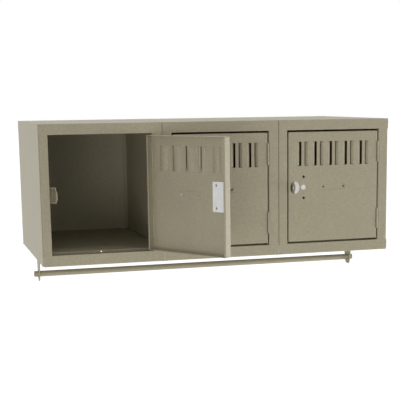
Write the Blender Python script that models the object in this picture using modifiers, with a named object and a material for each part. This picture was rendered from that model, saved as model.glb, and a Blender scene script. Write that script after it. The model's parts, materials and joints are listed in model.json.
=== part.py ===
"""Wall-hung row of three box lockers with a coat rod under it.

The row's width runs along X, its depth along Y with the wall at zero and the
doors facing -Y, and its height along Z with zero halfway up the backs.
"""

import math

import bmesh
import bpy
from mathutils import Matrix, Vector

MM = 0.001

# The row as a whole
UNIT_COUNT = 3
UNIT_WIDTH = 304.8 * MM
ROW_DEPTH = 457.2 * MM
ROW_HEIGHT = 346.1 * MM
CORNER_RADIUS = 6.0 * MM
CORNER_STEPS = 5

# Fits and cuts
SEAM = 0.3 * MM
OVERRUN = 2.0 * MM
MERGE_DISTANCE = 0.01 * MM

# Sheet gauges
BODY_GAUGE = 0.9 * MM
FRAME_GAUGE = 1.5 * MM
DOOR_GAUGE = 1.2 * MM

# Upright body sheets
FRONT_FLANGE = 15.0 * MM
REAR_FLANGE = 11.4 * MM
FOOT_FLANGE = 12.0 * MM
END_FOOT_FLANGE = 45.0 * MM
FLANGE_RELIEF = 3.0 * MM

# Tops and floors
PAN_TURN_DOWN = 12.0 * MM
FLOOR_HEIGHT = 32.3 * MM
FLOOR_HOLE_DIAMETER = 3.4 * MM
FLOOR_HOLE_INSET = 148.0 * MM
FLOOR_HOLE_DROP = 2.8 * MM

# Front frames
LATCH_JAMB_WIDTH = 23.4 * MM
HINGE_JAMB_WIDTH = 26.7 * MM
JAMB_RETURN = 21.3 * MM
END_JAMB_STEP = 2.5 * MM
RAIL_TOP_HEIGHT = 26.2 * MM
RAIL_TOP_LEG = 20.0 * MM
RAIL_BOTTOM_HEIGHT = 27.2 * MM
RAIL_BOTTOM_LEG = 25.0 * MM

# Doors
DOOR_DEPTH = 20.3 * MM
DOOR_LATCH_GAP = 3.3 * MM
DOOR_HEAD_GAP = 4.6 * MM
DOOR_SILL_GAP = 4.8 * MM
DOOR_LIP = 5.0 * MM
DOOR_REST_ANGLES = (math.radians(124.4), 0.0, 0.0)

# Louvres in the doors
LOUVRE_COUNT = 5
LOUVRE_EDGE_INSET = 24.6 * MM
LOUVRE_HEAD_INSET = 25.0 * MM
LOUVRE_LOCK_GAP = 28.5 * MM
LOUVRE_STRIP_PITCH_SHARE = 0.203
LOUVRE_SLOT_PITCH_SHARE = 0.252
LOUVRE_BLADE_ANGLE = math.radians(36.0)
LOUVRE_BLADE_REACH_SHARE = 0.81
LOUVRE_BLADE_GAUGE_SHARE = 0.8

# Lock and number plate holes
LOCK_INSET = 41.5 * MM
LOCK_HOLE_DIAMETER = 14.0 * MM
LOCK_SCREW_DIAMETER = 5.6 * MM
LOCK_SCREW_SPACING = 54.6 * MM
NUMBER_HOLE_DIAMETER = 4.0 * MM
NUMBER_HOLE_SPACING = 55.9 * MM

# Oval hole for the staple
OVAL_INSET = 18.3 * MM
OVAL_WIDTH = 25.4 * MM
OVAL_HEIGHT = 32.5 * MM

# Plate behind the lock hole
COVER_GAUGE = 1.2 * MM
COVER_INSET = 16.8 * MM
COVER_WIDTH = 35.3 * MM
COVER_HEIGHT = 72.0 * MM
COVER_TAB_INSET = 13.7 * MM
COVER_TAB_HEIGHT = 26.0 * MM
COVER_CORNER_RADIUS = 2.5 * MM
COVER_SCREW_DIAMETER = 6.2 * MM

# Strike and its staple nose
STRIKE_GAUGE = 2.0 * MM
STRIKE_HEIGHT = 39.4 * MM
STRIKE_LEG = 17.0 * MM
NOSE_INSET = 37.1 * MM
NOSE_HEIGHT = 24.0 * MM
NOSE_REACH = 18.5 * MM
NOSE_RADIUS = 11.0 * MM
NOSE_SHOULDER_DEPTH = 4.2 * MM
EYE_DIAMETER = 9.1 * MM
EYE_REACH = 7.1 * MM

# Hinges
HINGE_HEIGHT = 53.5 * MM
HINGE_END_INSET = 27.2 * MM
HINGE_LEAF_GAUGE = 1.2 * MM
HINGE_LEAF_DEPTH = 15.0 * MM
KNUCKLE_COUNT = 5
BARREL_DIAMETER = 5.5 * MM
PIN_DIAMETER = 2.5 * MM
PIN_END = 0.6 * MM
DOOR_EDGE_NOTCH = 3.6 * MM

# Coat rod and its brackets
ROD_DIAMETER = 15.9 * MM
ROD_BACK = 228.6 * MM
ROD_DROP = 51.3 * MM
ROD_END_INSET = 2.8 * MM
ROD_HOLE_PLAY = 0.2 * MM
BRACKET_GAUGE = 2.5 * MM
BRACKET_INSET = 13.8 * MM
BRACKET_DROP = 69.9 * MM
BRACKET_TOP_WIDTH = 73.0 * MM
BRACKET_NECK_WIDTH = 53.3 * MM
BRACKET_FILLET = 9.0 * MM
BRACKET_TIP_WIDTH = 28.0 * MM
BRACKET_TIP_FLAT = 16.0 * MM
BRACKET_TIP_CHAMFER = 6.0 * MM
BRACKET_LEG = 26.0 * MM

# Rivets of the rod brackets
RIVET_DIAMETER = 4.8 * MM
RIVET_SPACING = 34.0 * MM
RIVET_HEAD_DIAMETER = 9.5 * MM
RIVET_HEAD_HEIGHT = 2.4 * MM
RIVET_HEAD_STEPS = 3

# Facets of round shapes
HOLE_SEGMENTS = 16
OVAL_SEGMENTS = 28
BARREL_SEGMENTS = 16
PIN_SEGMENTS = 12
RIVET_SEGMENTS = 16
ROD_BEVEL_RESOLUTION = 5

# Places that follow from the sizes above
ROW_LEFT = -UNIT_COUNT * UNIT_WIDTH / 2
ROW_RIGHT = -ROW_LEFT
FRONT = -ROW_DEPTH
BOTTOM = -ROW_HEIGHT / 2
TOP = ROW_HEIGHT / 2
BEHIND_FACE = FRONT + FRAME_GAUGE + SEAM
BACK_FRONT = -BODY_GAUGE
OPENING_BOTTOM = BOTTOM + RAIL_BOTTOM_HEIGHT
OPENING_TOP = TOP - RAIL_TOP_HEIGHT
HINGE_GAP = 2 * HINGE_LEAF_GAUGE + 3 * SEAM
DOOR_WIDTH = UNIT_WIDTH - LATCH_JAMB_WIDTH - HINGE_JAMB_WIDTH - DOOR_LATCH_GAP - HINGE_GAP
DOOR_BOTTOM = OPENING_BOTTOM + DOOR_SILL_GAP
DOOR_TOP = OPENING_TOP - DOOR_HEAD_GAP
DOOR_HINGE_EDGE = -HINGE_GAP / 2
DOOR_LATCH_EDGE = DOOR_HINGE_EDGE - DOOR_WIDTH
LOUVRE_SPAN_SHARE = LOUVRE_STRIP_PITCH_SHARE + 2 * LOUVRE_SLOT_PITCH_SHARE
LOUVRE_PITCH = (DOOR_WIDTH - 2 * LOUVRE_EDGE_INSET) / (LOUVRE_COUNT - 1 + LOUVRE_SPAN_SHARE)
LOUVRE_STRIP = LOUVRE_PITCH * LOUVRE_STRIP_PITCH_SHARE
LOUVRE_SLOT = LOUVRE_PITCH * LOUVRE_SLOT_PITCH_SHARE
LOUVRE_HIGH = DOOR_TOP - LOUVRE_HEAD_INSET
LOUVRE_LOW = LOCK_SCREW_SPACING / 2 + LOUVRE_LOCK_GAP
BARREL_CLEARANCE = BARREL_DIAMETER / 2 + SEAM
JAMB_EDGE_NOTCH = BARREL_CLEARANCE - HINGE_GAP / 2
ROD_HOLE_SIDE = ROD_DIAMETER + 2 * SEAM + ROD_HOLE_PLAY

# Colours, as linear red, green, blue
ENAMEL = (0.30, 0.27, 0.19)
ENAMEL_INSIDE = (0.26, 0.235, 0.165)
ZINC = (0.62, 0.62, 0.60)
BRIGHT_STEEL = (0.50, 0.49, 0.46)

PARTS_NAME = "box_locker_row"
CUTTERS_NAME = "cutters"


def clear_scene():
    """Remove every object that the scene starts with."""
    for item in list(bpy.data.objects):
        bpy.data.objects.remove(item, do_unlink=True)


def make_collection(name, hidden):
    """Return a new collection linked to the scene."""
    made = bpy.data.collections.new(name)
    made.hide_render = hidden
    bpy.context.scene.collection.children.link(made)
    return made


def finish_material(name, colour, roughness, metallic):
    """Return a Principled material."""
    made = bpy.data.materials.new(name)
    made.use_nodes = True
    shader = made.node_tree.nodes["Principled BSDF"]
    shader.inputs["Base Color"].default_value = (*colour, 1.0)
    shader.inputs["Roughness"].default_value = roughness
    shader.inputs["Metallic"].default_value = metallic
    made.diffuse_color = (*colour, 1.0)
    return made


def enamel(name):
    """Tan enamel on the outside sheets."""
    return finish_material(name, ENAMEL, 0.45, 0.0)


def inside_enamel(name):
    """Tan enamel on the sheets that close the compartments."""
    return finish_material(name, ENAMEL_INSIDE, 0.55, 0.0)


def zinc_plate(name):
    """Zinc plate on the lock covers and rivets."""
    return finish_material(name, ZINC, 0.35, 0.9)


def bright_steel(name):
    """Plain steel of the hinge pins."""
    return finish_material(name, BRIGHT_STEEL, 0.35, 1.0)


def add_part(name, mesh, material, carrier=None):
    """Show a mesh as one named sub-part."""
    made = bpy.data.objects.new(name, mesh)
    made.data.materials.clear()
    made.data.materials.append(material(name))
    bpy.data.collections[PARTS_NAME].objects.link(made)
    made.parent = carrier
    return made


def add_operand(name, mesh, carrier=None):
    """Keep a mesh as a hidden operand of Boolean modifiers."""
    made = bpy.data.objects.new(name, mesh)
    made.hide_render = True
    made.display_type = "WIRE"
    bpy.data.collections[CUTTERS_NAME].objects.link(made)
    made.parent = carrier
    return made


def add_carrier(name, place, turn):
    """Return an empty on a joint's axis."""
    made = bpy.data.objects.new(name, None)
    bpy.data.collections[PARTS_NAME].objects.link(made)
    made.location = place
    made.rotation_euler = (0.0, 0.0, turn)
    return made


def combine(target, operand, operation):
    """Add an exact Boolean modifier to a sub-part."""
    made = target.modifiers.new(operation.title(), "BOOLEAN")
    made.operation = operation
    made.solver = "EXACT"
    made.object = operand
    return made


def slabs(name, boxes):
    """Return a mesh of boxes, each given by its low and high corner."""
    work = bmesh.new()
    for low, high in boxes:
        add_box(work, low, high)
    made = bpy.data.meshes.new(name)
    work.to_mesh(made)
    work.free()
    return made


def add_box(work, low, high):
    """Add a cube and stretch its corners onto the low and high corner."""
    corners = bmesh.ops.create_cube(work, size=1.0)["verts"]
    for corner in corners:
        corner.co = [
            high[axis] if corner.co[axis] > 0 else low[axis] for axis in range(len(low))
        ]


def circle(across, up, diameter, segments):
    """Return the points of a circle, one corner on its lower right."""
    points = []
    for step in range(segments):
        angle = 2 * math.pi * (step + 0.5) / segments
        points.append((
            across + diameter / 2 * math.cos(angle),
            up + diameter / 2 * math.sin(angle),
        ))
    return points


def ellipse(across, up, width, height, segments):
    """Return the points of an upright ellipse."""
    points = []
    for step in range(segments):
        angle = 2 * math.pi * step / segments
        points.append((
            across + width / 2 * math.cos(angle),
            up + height / 2 * math.sin(angle),
        ))
    return points


def rectangle(left, low, right, high):
    """Return the points of a rectangle."""
    return [(left, low), (right, low), (right, high), (left, high)]


def rounded_rectangle(left, low, right, high, radii):
    """Return a rectangle whose corners have their own radii.

    The radii start at the lower left corner and go round anticlockwise.
    """
    corners = [(left, low), (right, low), (right, high), (left, high)]
    inward = [(1, 1), (-1, 1), (-1, -1), (1, -1)]
    points = []
    for index, (corner, radius) in enumerate(zip(corners, radii)):
        if radius == 0:
            points.append(corner)
            continue
        centre_across = corner[0] + inward[index][0] * radius
        centre_up = corner[1] + inward[index][1] * radius
        start = math.pi + index * math.pi / 2
        for step in range(CORNER_STEPS + 1):
            angle = start + math.pi / 2 * step / CORNER_STEPS
            points.append((
                centre_across + radius * math.cos(angle),
                centre_up + radius * math.sin(angle),
            ))
    return points


def stand_up(facing, start, end, corner):
    """Return where a flat plate's corner goes once it lies across an axis."""
    across, up, side = corner
    if facing == "Y":
        return across, (start if side > 0 else end), up
    if facing == "X":
        return (end if side > 0 else start), across, up
    return across, up, (end if side > 0 else start)


def plate(name, outlines, facing, start, thickness):
    """Return a flat plate from outlines, the inner ones being holes.

    It lies across the axis named by facing, from start over its thickness.
    """
    curve = bpy.data.curves.new(name, "CURVE")
    curve.dimensions = "2D"
    curve.fill_mode = "BOTH"
    curve.extrude = thickness / 2
    for outline in outlines:
        spline = curve.splines.new("POLY")
        spline.points.add(len(outline) - 1)
        for point, (across, up) in zip(spline.points, outline):
            point.co = (across, up, 0.0, 1.0)
        spline.use_cyclic_u = True
    made = curve_to_mesh(name, curve)
    for vertex in made.vertices:
        vertex.co = stand_up(facing, start, start + thickness, vertex.co)
    return made


def rods(name, lines, diameter, resolution):
    """Return round rods with flat ends along straight lines."""
    curve = bpy.data.curves.new(name, "CURVE")
    curve.dimensions = "3D"
    curve.bevel_depth = diameter / 2
    curve.bevel_resolution = resolution
    curve.use_fill_caps = True
    for line in lines:
        spline = curve.splines.new("POLY")
        spline.points.add(len(line) - 1)
        for point, place in zip(spline.points, line):
            point.co = (*place, 1.0)
    return curve_to_mesh(name, curve)


def curve_to_mesh(name, curve):
    """Turn a curve into a closed mesh and remove the curve."""
    holder = bpy.data.objects.new(name, curve)
    bpy.context.scene.collection.objects.link(holder)
    made = bpy.data.meshes.new_from_object(holder)
    bpy.data.objects.remove(holder, do_unlink=True)
    bpy.data.curves.remove(curve)
    work = bmesh.new()
    work.from_mesh(made)
    bmesh.ops.remove_doubles(work, verts=work.verts, dist=MERGE_DISTANCE)
    bmesh.ops.recalc_face_normals(work, faces=work.faces)
    work.to_mesh(made)
    work.free()
    made.name = name
    return made


def shade_round(target):
    """Shade a turned sub-part smooth between its sharp edges."""
    target.data.shade_smooth()
    target.data.set_sharp_from_angle(angle=math.radians(30.0))


def open_pan(name, low, high, closed_side):
    """Return the open surface of a pan: one closed side and four walls."""
    work = bmesh.new()
    add_box(work, low, high)
    work.normal_update()
    away = [face for face in work.faces if face.normal.dot(Vector(closed_side)) < -0.5]
    bmesh.ops.delete(work, geom=away, context="FACES_ONLY")
    made = bpy.data.meshes.new(name)
    work.to_mesh(made)
    work.free()
    return made


def add_gauge(target, gauge):
    """Give an open surface its sheet gauge, inward from the surface."""
    made = target.modifiers.new("Gauge", "SOLIDIFY")
    made.thickness = gauge
    made.offset = -1.0
    made.use_even_offset = True
    return made


def unit_left(index):
    """Return where a unit starts across the row."""
    return ROW_LEFT + index * UNIT_WIDTH


def sheet_span(boundary):
    """Return the two faces of the upright sheet at a unit boundary."""
    if boundary == 0:
        return ROW_LEFT, ROW_LEFT + BODY_GAUGE
    if boundary == UNIT_COUNT:
        return ROW_RIGHT - BODY_GAUGE, ROW_RIGHT
    middle = unit_left(boundary)
    return middle - BODY_GAUGE / 2, middle + BODY_GAUGE / 2


def clear_span(index):
    """Return the width between a unit's upright sheets, less the seams."""
    return sheet_span(index)[1] + SEAM, sheet_span(index + 1)[0] - SEAM


def face_span(index):
    """Return the width of a unit's front frame, less its share of the seams."""
    left = unit_left(index)
    right = unit_left(index + 1)
    if index > 0:
        left += SEAM / 2
    if index < UNIT_COUNT - 1:
        right -= SEAM / 2
    return left, right


def hinge_line(index):
    """Return where a door's hinge axis stands."""
    across = unit_left(index + 1) - HINGE_JAMB_WIDTH - HINGE_GAP / 2
    return across, FRONT, 0.0


def build_upright_sheet(name, boundary):
    """Build an upright body sheet with its front, rear and foot flanges."""
    left, right = sheet_span(boundary)
    is_end = boundary in (0, UNIT_COUNT)
    inward = 1 if boundary == 0 else -1
    rear = BACK_FRONT - SEAM
    foot_width = END_FOOT_FLANGE if is_end else FOOT_FLANGE

    def reach(width):
        """Return the span of a flange of that width, sheet included."""
        if inward > 0:
            return left, left + width
        return right - width, right

    made = add_part(
        name,
        slabs(name, [((left, BEHIND_FACE, BOTTOM), (right, rear, TOP))]),
        enamel if is_end else inside_enamel,
    )
    front = reach(FRONT_FLANGE)
    back = reach(REAR_FLANGE)
    foot = reach(foot_width)
    flanges = [
        (
            (front[0], BEHIND_FACE, OPENING_BOTTOM + SEAM),
            (front[1], BEHIND_FACE + BODY_GAUGE, OPENING_TOP - SEAM),
        ),
        (
            (back[0], rear - BODY_GAUGE, BOTTOM),
            (back[1], rear, TOP - PAN_TURN_DOWN - FLANGE_RELIEF),
        ),
        (
            (foot[0], FRONT + RAIL_BOTTOM_LEG + FLANGE_RELIEF, BOTTOM),
            (foot[1], rear - BODY_GAUGE - FLANGE_RELIEF, BOTTOM + BODY_GAUGE),
        ),
    ]
    combine(made, add_operand(name + "_flanges", slabs(name, flanges)), "UNION")
    if is_end:
        holes = [
            circle(rivet_across(inward), along, RIVET_DIAMETER + 2 * SEAM, HOLE_SEGMENTS)
            for along in rivet_places()
        ]
        cut = plate(name, holes, "Z", BOTTOM - OVERRUN, BODY_GAUGE + 2 * OVERRUN)
        combine(made, add_operand(name + "_holes", cut), "DIFFERENCE")
    return made


def build_top(index):
    """Build a unit's top, a shallow pan turned down between the sheets."""
    name = f"top_{index + 1}"
    left, right = clear_span(index)
    low = (left, BEHIND_FACE, TOP - PAN_TURN_DOWN)
    high = (right, BACK_FRONT - SEAM, TOP)
    made = add_part(name, open_pan(name, low, high, (0, 0, 1)), enamel)
    add_gauge(made, BODY_GAUGE)
    return made


def build_floor(index):
    """Build a unit's floor, a shallow pan; the first has a hole in its lip."""
    name = f"floor_{index + 1}"
    left, right = clear_span(index)
    surface = BOTTOM + FLOOR_HEIGHT
    front = FRONT + JAMB_RETURN + SEAM
    low = (left, front, surface - PAN_TURN_DOWN)
    high = (right, BACK_FRONT - 2 * SEAM - BODY_GAUGE, surface)
    made = add_part(name, open_pan(name, low, high, (0, 0, 1)), inside_enamel)
    add_gauge(made, BODY_GAUGE)
    if index > 0:
        return made
    hole = circle(
        unit_left(index) + FLOOR_HOLE_INSET,
        surface - FLOOR_HOLE_DROP,
        FLOOR_HOLE_DIAMETER,
        HOLE_SEGMENTS,
    )
    cut = plate(name, [hole], "Y", front - OVERRUN, BODY_GAUGE + 2 * OVERRUN)
    combine(made, add_operand(name + "_hole", cut), "DIFFERENCE")
    return made


def build_back(index):
    """Build a unit's flat back sheet."""
    name = f"back_{index + 1}"
    left, right = face_span(index)
    low = (left, BACK_FRONT, BOTTOM)
    high = (right, 0.0, TOP)
    return add_part(name, slabs(name, [(low, high)]), enamel)


def build_rail_top(index):
    """Build a top rail: its face and the leg turned back over the door."""
    name = f"rail_top_{index + 1}"
    left, right = face_span(index)
    first = CORNER_RADIUS if index == 0 else 0
    last = CORNER_RADIUS if index == UNIT_COUNT - 1 else 0
    outline = rounded_rectangle(left, OPENING_TOP, right, TOP, (0, 0, last, first))
    made = add_part(name, plate(name, [outline], "Y", FRONT, FRAME_GAUGE), enamel)
    inner_left, inner_right = clear_span(index)
    leg = (
        (inner_left, FRONT + FRAME_GAUGE / 2, OPENING_TOP),
        (inner_right, FRONT + RAIL_TOP_LEG, OPENING_TOP + FRAME_GAUGE),
    )
    combine(made, add_operand(name + "_leg", slabs(name, [leg])), "UNION")
    return made


def build_rail_bottom(index):
    """Build a bottom rail: its face and the leg turned back at its foot."""
    name = f"rail_bottom_{index + 1}"
    left, right = face_span(index)
    first = CORNER_RADIUS if index == 0 else 0
    last = CORNER_RADIUS if index == UNIT_COUNT - 1 else 0
    outline = rounded_rectangle(left, BOTTOM, right, OPENING_BOTTOM, (first, last, 0, 0))
    made = add_part(name, plate(name, [outline], "Y", FRONT, FRAME_GAUGE), enamel)
    inner_left, inner_right = clear_span(index)
    leg = (
        (inner_left + CORNER_RADIUS, FRONT + FRAME_GAUGE / 2, BOTTOM),
        (inner_right - CORNER_RADIUS, FRONT + RAIL_BOTTOM_LEG, BOTTOM + FRAME_GAUGE),
    )
    combine(made, add_operand(name + "_leg", slabs(name, [leg])), "UNION")
    return made


def build_latch_jamb(index):
    """Build the upright that carries the strike."""
    name = f"jamb_left_{index + 1}"
    left = unit_left(index) + (END_JAMB_STEP if index == 0 else SEAM / 2)
    right = unit_left(index) + LATCH_JAMB_WIDTH
    low = OPENING_BOTTOM + SEAM
    high = OPENING_TOP - SEAM
    outline = [
        (left, FRONT),
        (right, FRONT),
        (right, FRONT + JAMB_RETURN),
        (right - FRAME_GAUGE, FRONT + JAMB_RETURN),
        (right - FRAME_GAUGE, FRONT + FRAME_GAUGE),
        (left, FRONT + FRAME_GAUGE),
    ]
    return add_part(name, plate(name, [outline], "Z", low, high - low), enamel)


def build_hinge_jamb(index):
    """Build the upright that carries the hinges, notched at their barrels."""
    name = f"jamb_right_{index + 1}"
    is_last = index == UNIT_COUNT - 1
    left = unit_left(index + 1) - HINGE_JAMB_WIDTH
    right = unit_left(index + 1) - (END_JAMB_STEP if is_last else SEAM / 2)
    low = OPENING_BOTTOM + SEAM
    high = OPENING_TOP - SEAM
    outline = [
        (left, FRONT),
        (right, FRONT),
        (right, FRONT + FRAME_GAUGE),
        (left + FRAME_GAUGE, FRONT + FRAME_GAUGE),
        (left + FRAME_GAUGE, FRONT + JAMB_RETURN),
        (left, FRONT + JAMB_RETURN),
    ]
    made = add_part(name, plate(name, [outline], "Z", low, high - low), enamel)
    notches = [
        (
            (left - OVERRUN, FRONT - OVERRUN, middle - HINGE_HEIGHT / 2 - SEAM),
            (left + JAMB_EDGE_NOTCH, FRONT + BARREL_CLEARANCE, middle + HINGE_HEIGHT / 2 + SEAM),
        )
        for middle in hinge_middles()
    ]
    combine(made, add_operand(name + "_notches", slabs(name, notches)), "DIFFERENCE")
    return made


def build_strike(index):
    """Build the folded strike whose nose comes through the door."""
    name = f"strike_{index + 1}"
    left = unit_left(index)
    leg_right = left + LATCH_JAMB_WIDTH - FRAME_GAUGE - SEAM
    leg_left = leg_right - STRIKE_GAUGE
    web_front = FRONT + JAMB_RETURN + SEAM
    web_back = web_front + STRIKE_GAUGE
    nose_left = left + NOSE_INSET
    nose_right = nose_left + STRIKE_GAUGE
    tip = FRONT - NOSE_REACH
    fold = [
        (leg_left, web_back - STRIKE_LEG),
        (leg_right, web_back - STRIKE_LEG),
        (leg_right, web_front),
        (nose_left, web_front),
        (nose_left, tip),
        (nose_right, tip),
        (nose_right, web_back),
        (leg_left, web_back),
    ]
    mesh = plate(name, [fold], "Z", -STRIKE_HEIGHT / 2, STRIKE_HEIGHT)
    made = add_part(name, mesh, enamel)
    outlines = [nose_trim(tip, 1), nose_trim(tip, -1)]
    outlines.append(circle(FRONT - EYE_REACH, 0.0, EYE_DIAMETER, HOLE_SEGMENTS))
    start = nose_left - OVERRUN
    cut = plate(name, outlines, "X", start, STRIKE_GAUGE + 2 * OVERRUN)
    combine(made, add_operand(name + "_trim", cut), "DIFFERENCE")
    return made


def nose_trim(tip, side):
    """Return what is cut away above (side 1) or below (side -1) the nose."""
    root = FRONT + NOSE_SHOULDER_DEPTH
    high = STRIKE_HEIGHT / 2 + OVERRUN
    half = NOSE_HEIGHT / 2
    points = [(root, high), (tip - OVERRUN, high), (tip - OVERRUN, half - NOSE_RADIUS)]
    for step in range(CORNER_STEPS + 1):
        angle = math.pi / 2 * step / CORNER_STEPS
        points.append((
            tip + NOSE_RADIUS * (1 - math.cos(angle)),
            half - NOSE_RADIUS * (1 - math.sin(angle)),
        ))
    points.append((root, half))
    return [(along, side * up) for along, up in points]


def louvre_centres():
    """Return the middles of a door's louvres, from its hinge axis."""
    middle = (DOOR_HINGE_EDGE + DOOR_LATCH_EDGE) / 2
    first = middle - LOUVRE_PITCH * (LOUVRE_COUNT - 1) / 2
    return [first + LOUVRE_PITCH * step for step in range(LOUVRE_COUNT)]


def louvre_slots():
    """Return the two slots of each louvre."""
    inner = LOUVRE_STRIP / 2
    outer = inner + LOUVRE_SLOT
    outlines = []
    for centre in louvre_centres():
        left = centre - outer
        right = centre + outer
        outlines.append(rectangle(left, LOUVRE_LOW, centre - inner, LOUVRE_HIGH))
        outlines.append(rectangle(centre + inner, LOUVRE_LOW, right, LOUVRE_HIGH))
    return outlines


def louvre_blades(name):
    """Return the blades bent inward at the outer side of each slot."""
    high = LOUVRE_HIGH - SEAM
    low = LOUVRE_LOW + SEAM
    gauge = DOOR_GAUGE * LOUVRE_BLADE_GAUGE_SHARE
    root = DOOR_GAUGE / 2
    outer = LOUVRE_STRIP / 2 + LOUVRE_SLOT + root
    reach = LOUVRE_SLOT * LOUVRE_BLADE_REACH_SHARE
    work = bmesh.new()
    for centre in louvre_centres():
        for side in (-1, 1):
            size = Matrix.Diagonal((reach, gauge, high - low, 1.0))
            along = Matrix.Translation((-side * reach / 2, 0.0, 0.0))
            bend = Matrix.Rotation(-side * LOUVRE_BLADE_ANGLE, 4, "Z")
            place = Matrix.Translation((centre + side * outer, root, (low + high) / 2))
            bmesh.ops.create_cube(work, size=1.0, matrix=place @ bend @ along @ size)
    made = bpy.data.meshes.new(name)
    work.to_mesh(made)
    work.free()
    return made


def hinge_middles():
    """Return the heights of the middles of a door's two hinges."""
    lower = DOOR_BOTTOM + HINGE_END_INSET + HINGE_HEIGHT / 2
    upper = DOOR_TOP - HINGE_END_INSET - HINGE_HEIGHT / 2
    return lower, upper


def door_holes(name):
    """Return the prisms of every hole through a door's skin."""
    lock = DOOR_LATCH_EDGE + LOCK_INSET
    middle = (DOOR_HINGE_EDGE + DOOR_LATCH_EDGE) / 2
    oval = DOOR_LATCH_EDGE + OVAL_INSET
    outlines = louvre_slots()
    outlines.append(circle(lock, 0.0, LOCK_HOLE_DIAMETER, HOLE_SEGMENTS))
    for side in (-1, 1):
        screw = side * LOCK_SCREW_SPACING / 2
        number = middle + side * NUMBER_HOLE_SPACING / 2
        outlines.append(circle(lock, screw, LOCK_SCREW_DIAMETER, HOLE_SEGMENTS))
        outlines.append(circle(number, 0.0, NUMBER_HOLE_DIAMETER, HOLE_SEGMENTS))
    outlines.append(ellipse(oval, 0.0, OVAL_WIDTH, OVAL_HEIGHT, OVAL_SEGMENTS))
    return plate(name, outlines, "Y", -OVERRUN, DOOR_GAUGE + 2 * OVERRUN)


def build_door(index, carrier):
    """Build a door pan with its holes, louvre blades, lips and notches."""
    name = f"door_{index + 1}"
    low = (DOOR_LATCH_EDGE, 0.0, DOOR_BOTTOM)
    high = (DOOR_HINGE_EDGE, DOOR_DEPTH, DOOR_TOP)
    made = add_part(name, open_pan(name, low, high, (0, -1, 0)), enamel, carrier)
    add_gauge(made, DOOR_GAUGE)
    holes = add_operand(name + "_holes", door_holes(name), carrier)
    combine(made, holes, "DIFFERENCE")
    blades = add_operand(name + "_blades", louvre_blades(name), carrier)
    combine(made, blades, "UNION")
    inset = DOOR_GAUGE + SEAM
    lips = [
        (
            (DOOR_LATCH_EDGE, DOOR_DEPTH - DOOR_GAUGE, DOOR_BOTTOM + inset),
            (DOOR_LATCH_EDGE + DOOR_LIP, DOOR_DEPTH, DOOR_TOP - inset),
        ),
        (
            (DOOR_HINGE_EDGE - DOOR_LIP, DOOR_DEPTH - DOOR_GAUGE, DOOR_BOTTOM + inset),
            (DOOR_HINGE_EDGE, DOOR_DEPTH, DOOR_TOP - inset),
        ),
    ]
    combine(made, add_operand(name + "_lips", slabs(name, lips), carrier), "UNION")
    notches = [
        (
            (DOOR_HINGE_EDGE - DOOR_EDGE_NOTCH, -OVERRUN, middle - HINGE_HEIGHT / 2 - SEAM),
            (DOOR_HINGE_EDGE + OVERRUN, BARREL_CLEARANCE, middle + HINGE_HEIGHT / 2 + SEAM),
        )
        for middle in hinge_middles()
    ]
    cut = add_operand(name + "_notches", slabs(name, notches), carrier)
    combine(made, cut, "DIFFERENCE")
    return made


def build_lock_cover(index, carrier):
    """Build the plate behind a door's lock hole."""
    name = f"lock_cover_{index + 1}"
    left = DOOR_LATCH_EDGE + COVER_INSET
    right = left + COVER_WIDTH
    tab = DOOR_LATCH_EDGE + COVER_TAB_INSET
    half = COVER_HEIGHT / 2
    tab_half = COVER_TAB_HEIGHT / 2
    outline = rounded_rectangle(left, -half, right, half, (0, COVER_CORNER_RADIUS) * 2)
    outline = [point for point in outline if point[0] > left]
    outline += [
        (left, half),
        (left, tab_half),
        (tab, tab_half),
        (tab, -tab_half),
        (left, -tab_half),
        (left, -half),
    ]
    lock = DOOR_LATCH_EDGE + LOCK_INSET
    outlines = [outline]
    for side in (-1, 1):
        screw = side * LOCK_SCREW_SPACING / 2
        outlines.append(circle(lock, screw, COVER_SCREW_DIAMETER, HOLE_SEGMENTS))
    mesh = plate(name, outlines, "Y", DOOR_GAUGE + SEAM, COVER_GAUGE)
    return add_part(name, mesh, zinc_plate, carrier)


def hinge_leaf(name, side, middle, knuckles, carrier):
    """Build one leaf of a hinge with its own knuckles.

    Side is 1 for the leaf on the upright and -1 for the leaf on the door.
    """
    pitch = HINGE_HEIGHT / KNUCKLE_COUNT
    low = middle - HINGE_HEIGHT / 2
    near = side * SEAM / 2
    far = side * (SEAM / 2 + HINGE_LEAF_GAUGE)
    left = min(near, far)
    right = max(near, far)
    ring_depth = (BARREL_DIAMETER / 2 + bore_diameter() / 2) / 2
    leaf = (
        (left, BARREL_CLEARANCE, low),
        (right, HINGE_LEAF_DEPTH, low + HINGE_HEIGHT),
    )
    made = add_part(name, slabs(name, [leaf]), enamel, carrier)
    tongues = []
    for knuckle in knuckles:
        start = low + knuckle * pitch + SEAM / 2
        end = low + (knuckle + 1) * pitch - SEAM / 2
        tongues.append(((left, ring_depth, start), (right, BARREL_CLEARANCE + SEAM, end)))
        outlines = [
            circle(0.0, 0.0, BARREL_DIAMETER, BARREL_SEGMENTS),
            circle(0.0, 0.0, bore_diameter(), PIN_SEGMENTS),
        ]
        ring = plate(name, outlines, "Z", start, end - start)
        ring_name = f"{name}_knuckle_{knuckle + 1}"
        combine(made, add_operand(ring_name, ring, carrier), "UNION")
    tongue_object = add_operand(name + "_tongues", slabs(name, tongues), carrier)
    combine(made, tongue_object, "UNION")
    return made


def bore_diameter():
    """Return the bore of the knuckles, which clears the pin."""
    return PIN_DIAMETER + 2 * SEAM


def build_hinge_pin(name, middle, carrier):
    """Build the pin through a hinge's knuckles."""
    half = HINGE_HEIGHT / 2 + PIN_END
    outline = circle(0.0, 0.0, PIN_DIAMETER, PIN_SEGMENTS)
    mesh = plate(name, [outline], "Z", middle - half, 2 * half)
    made = add_part(name, mesh, bright_steel, carrier)
    shade_round(made)
    return made


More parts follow.
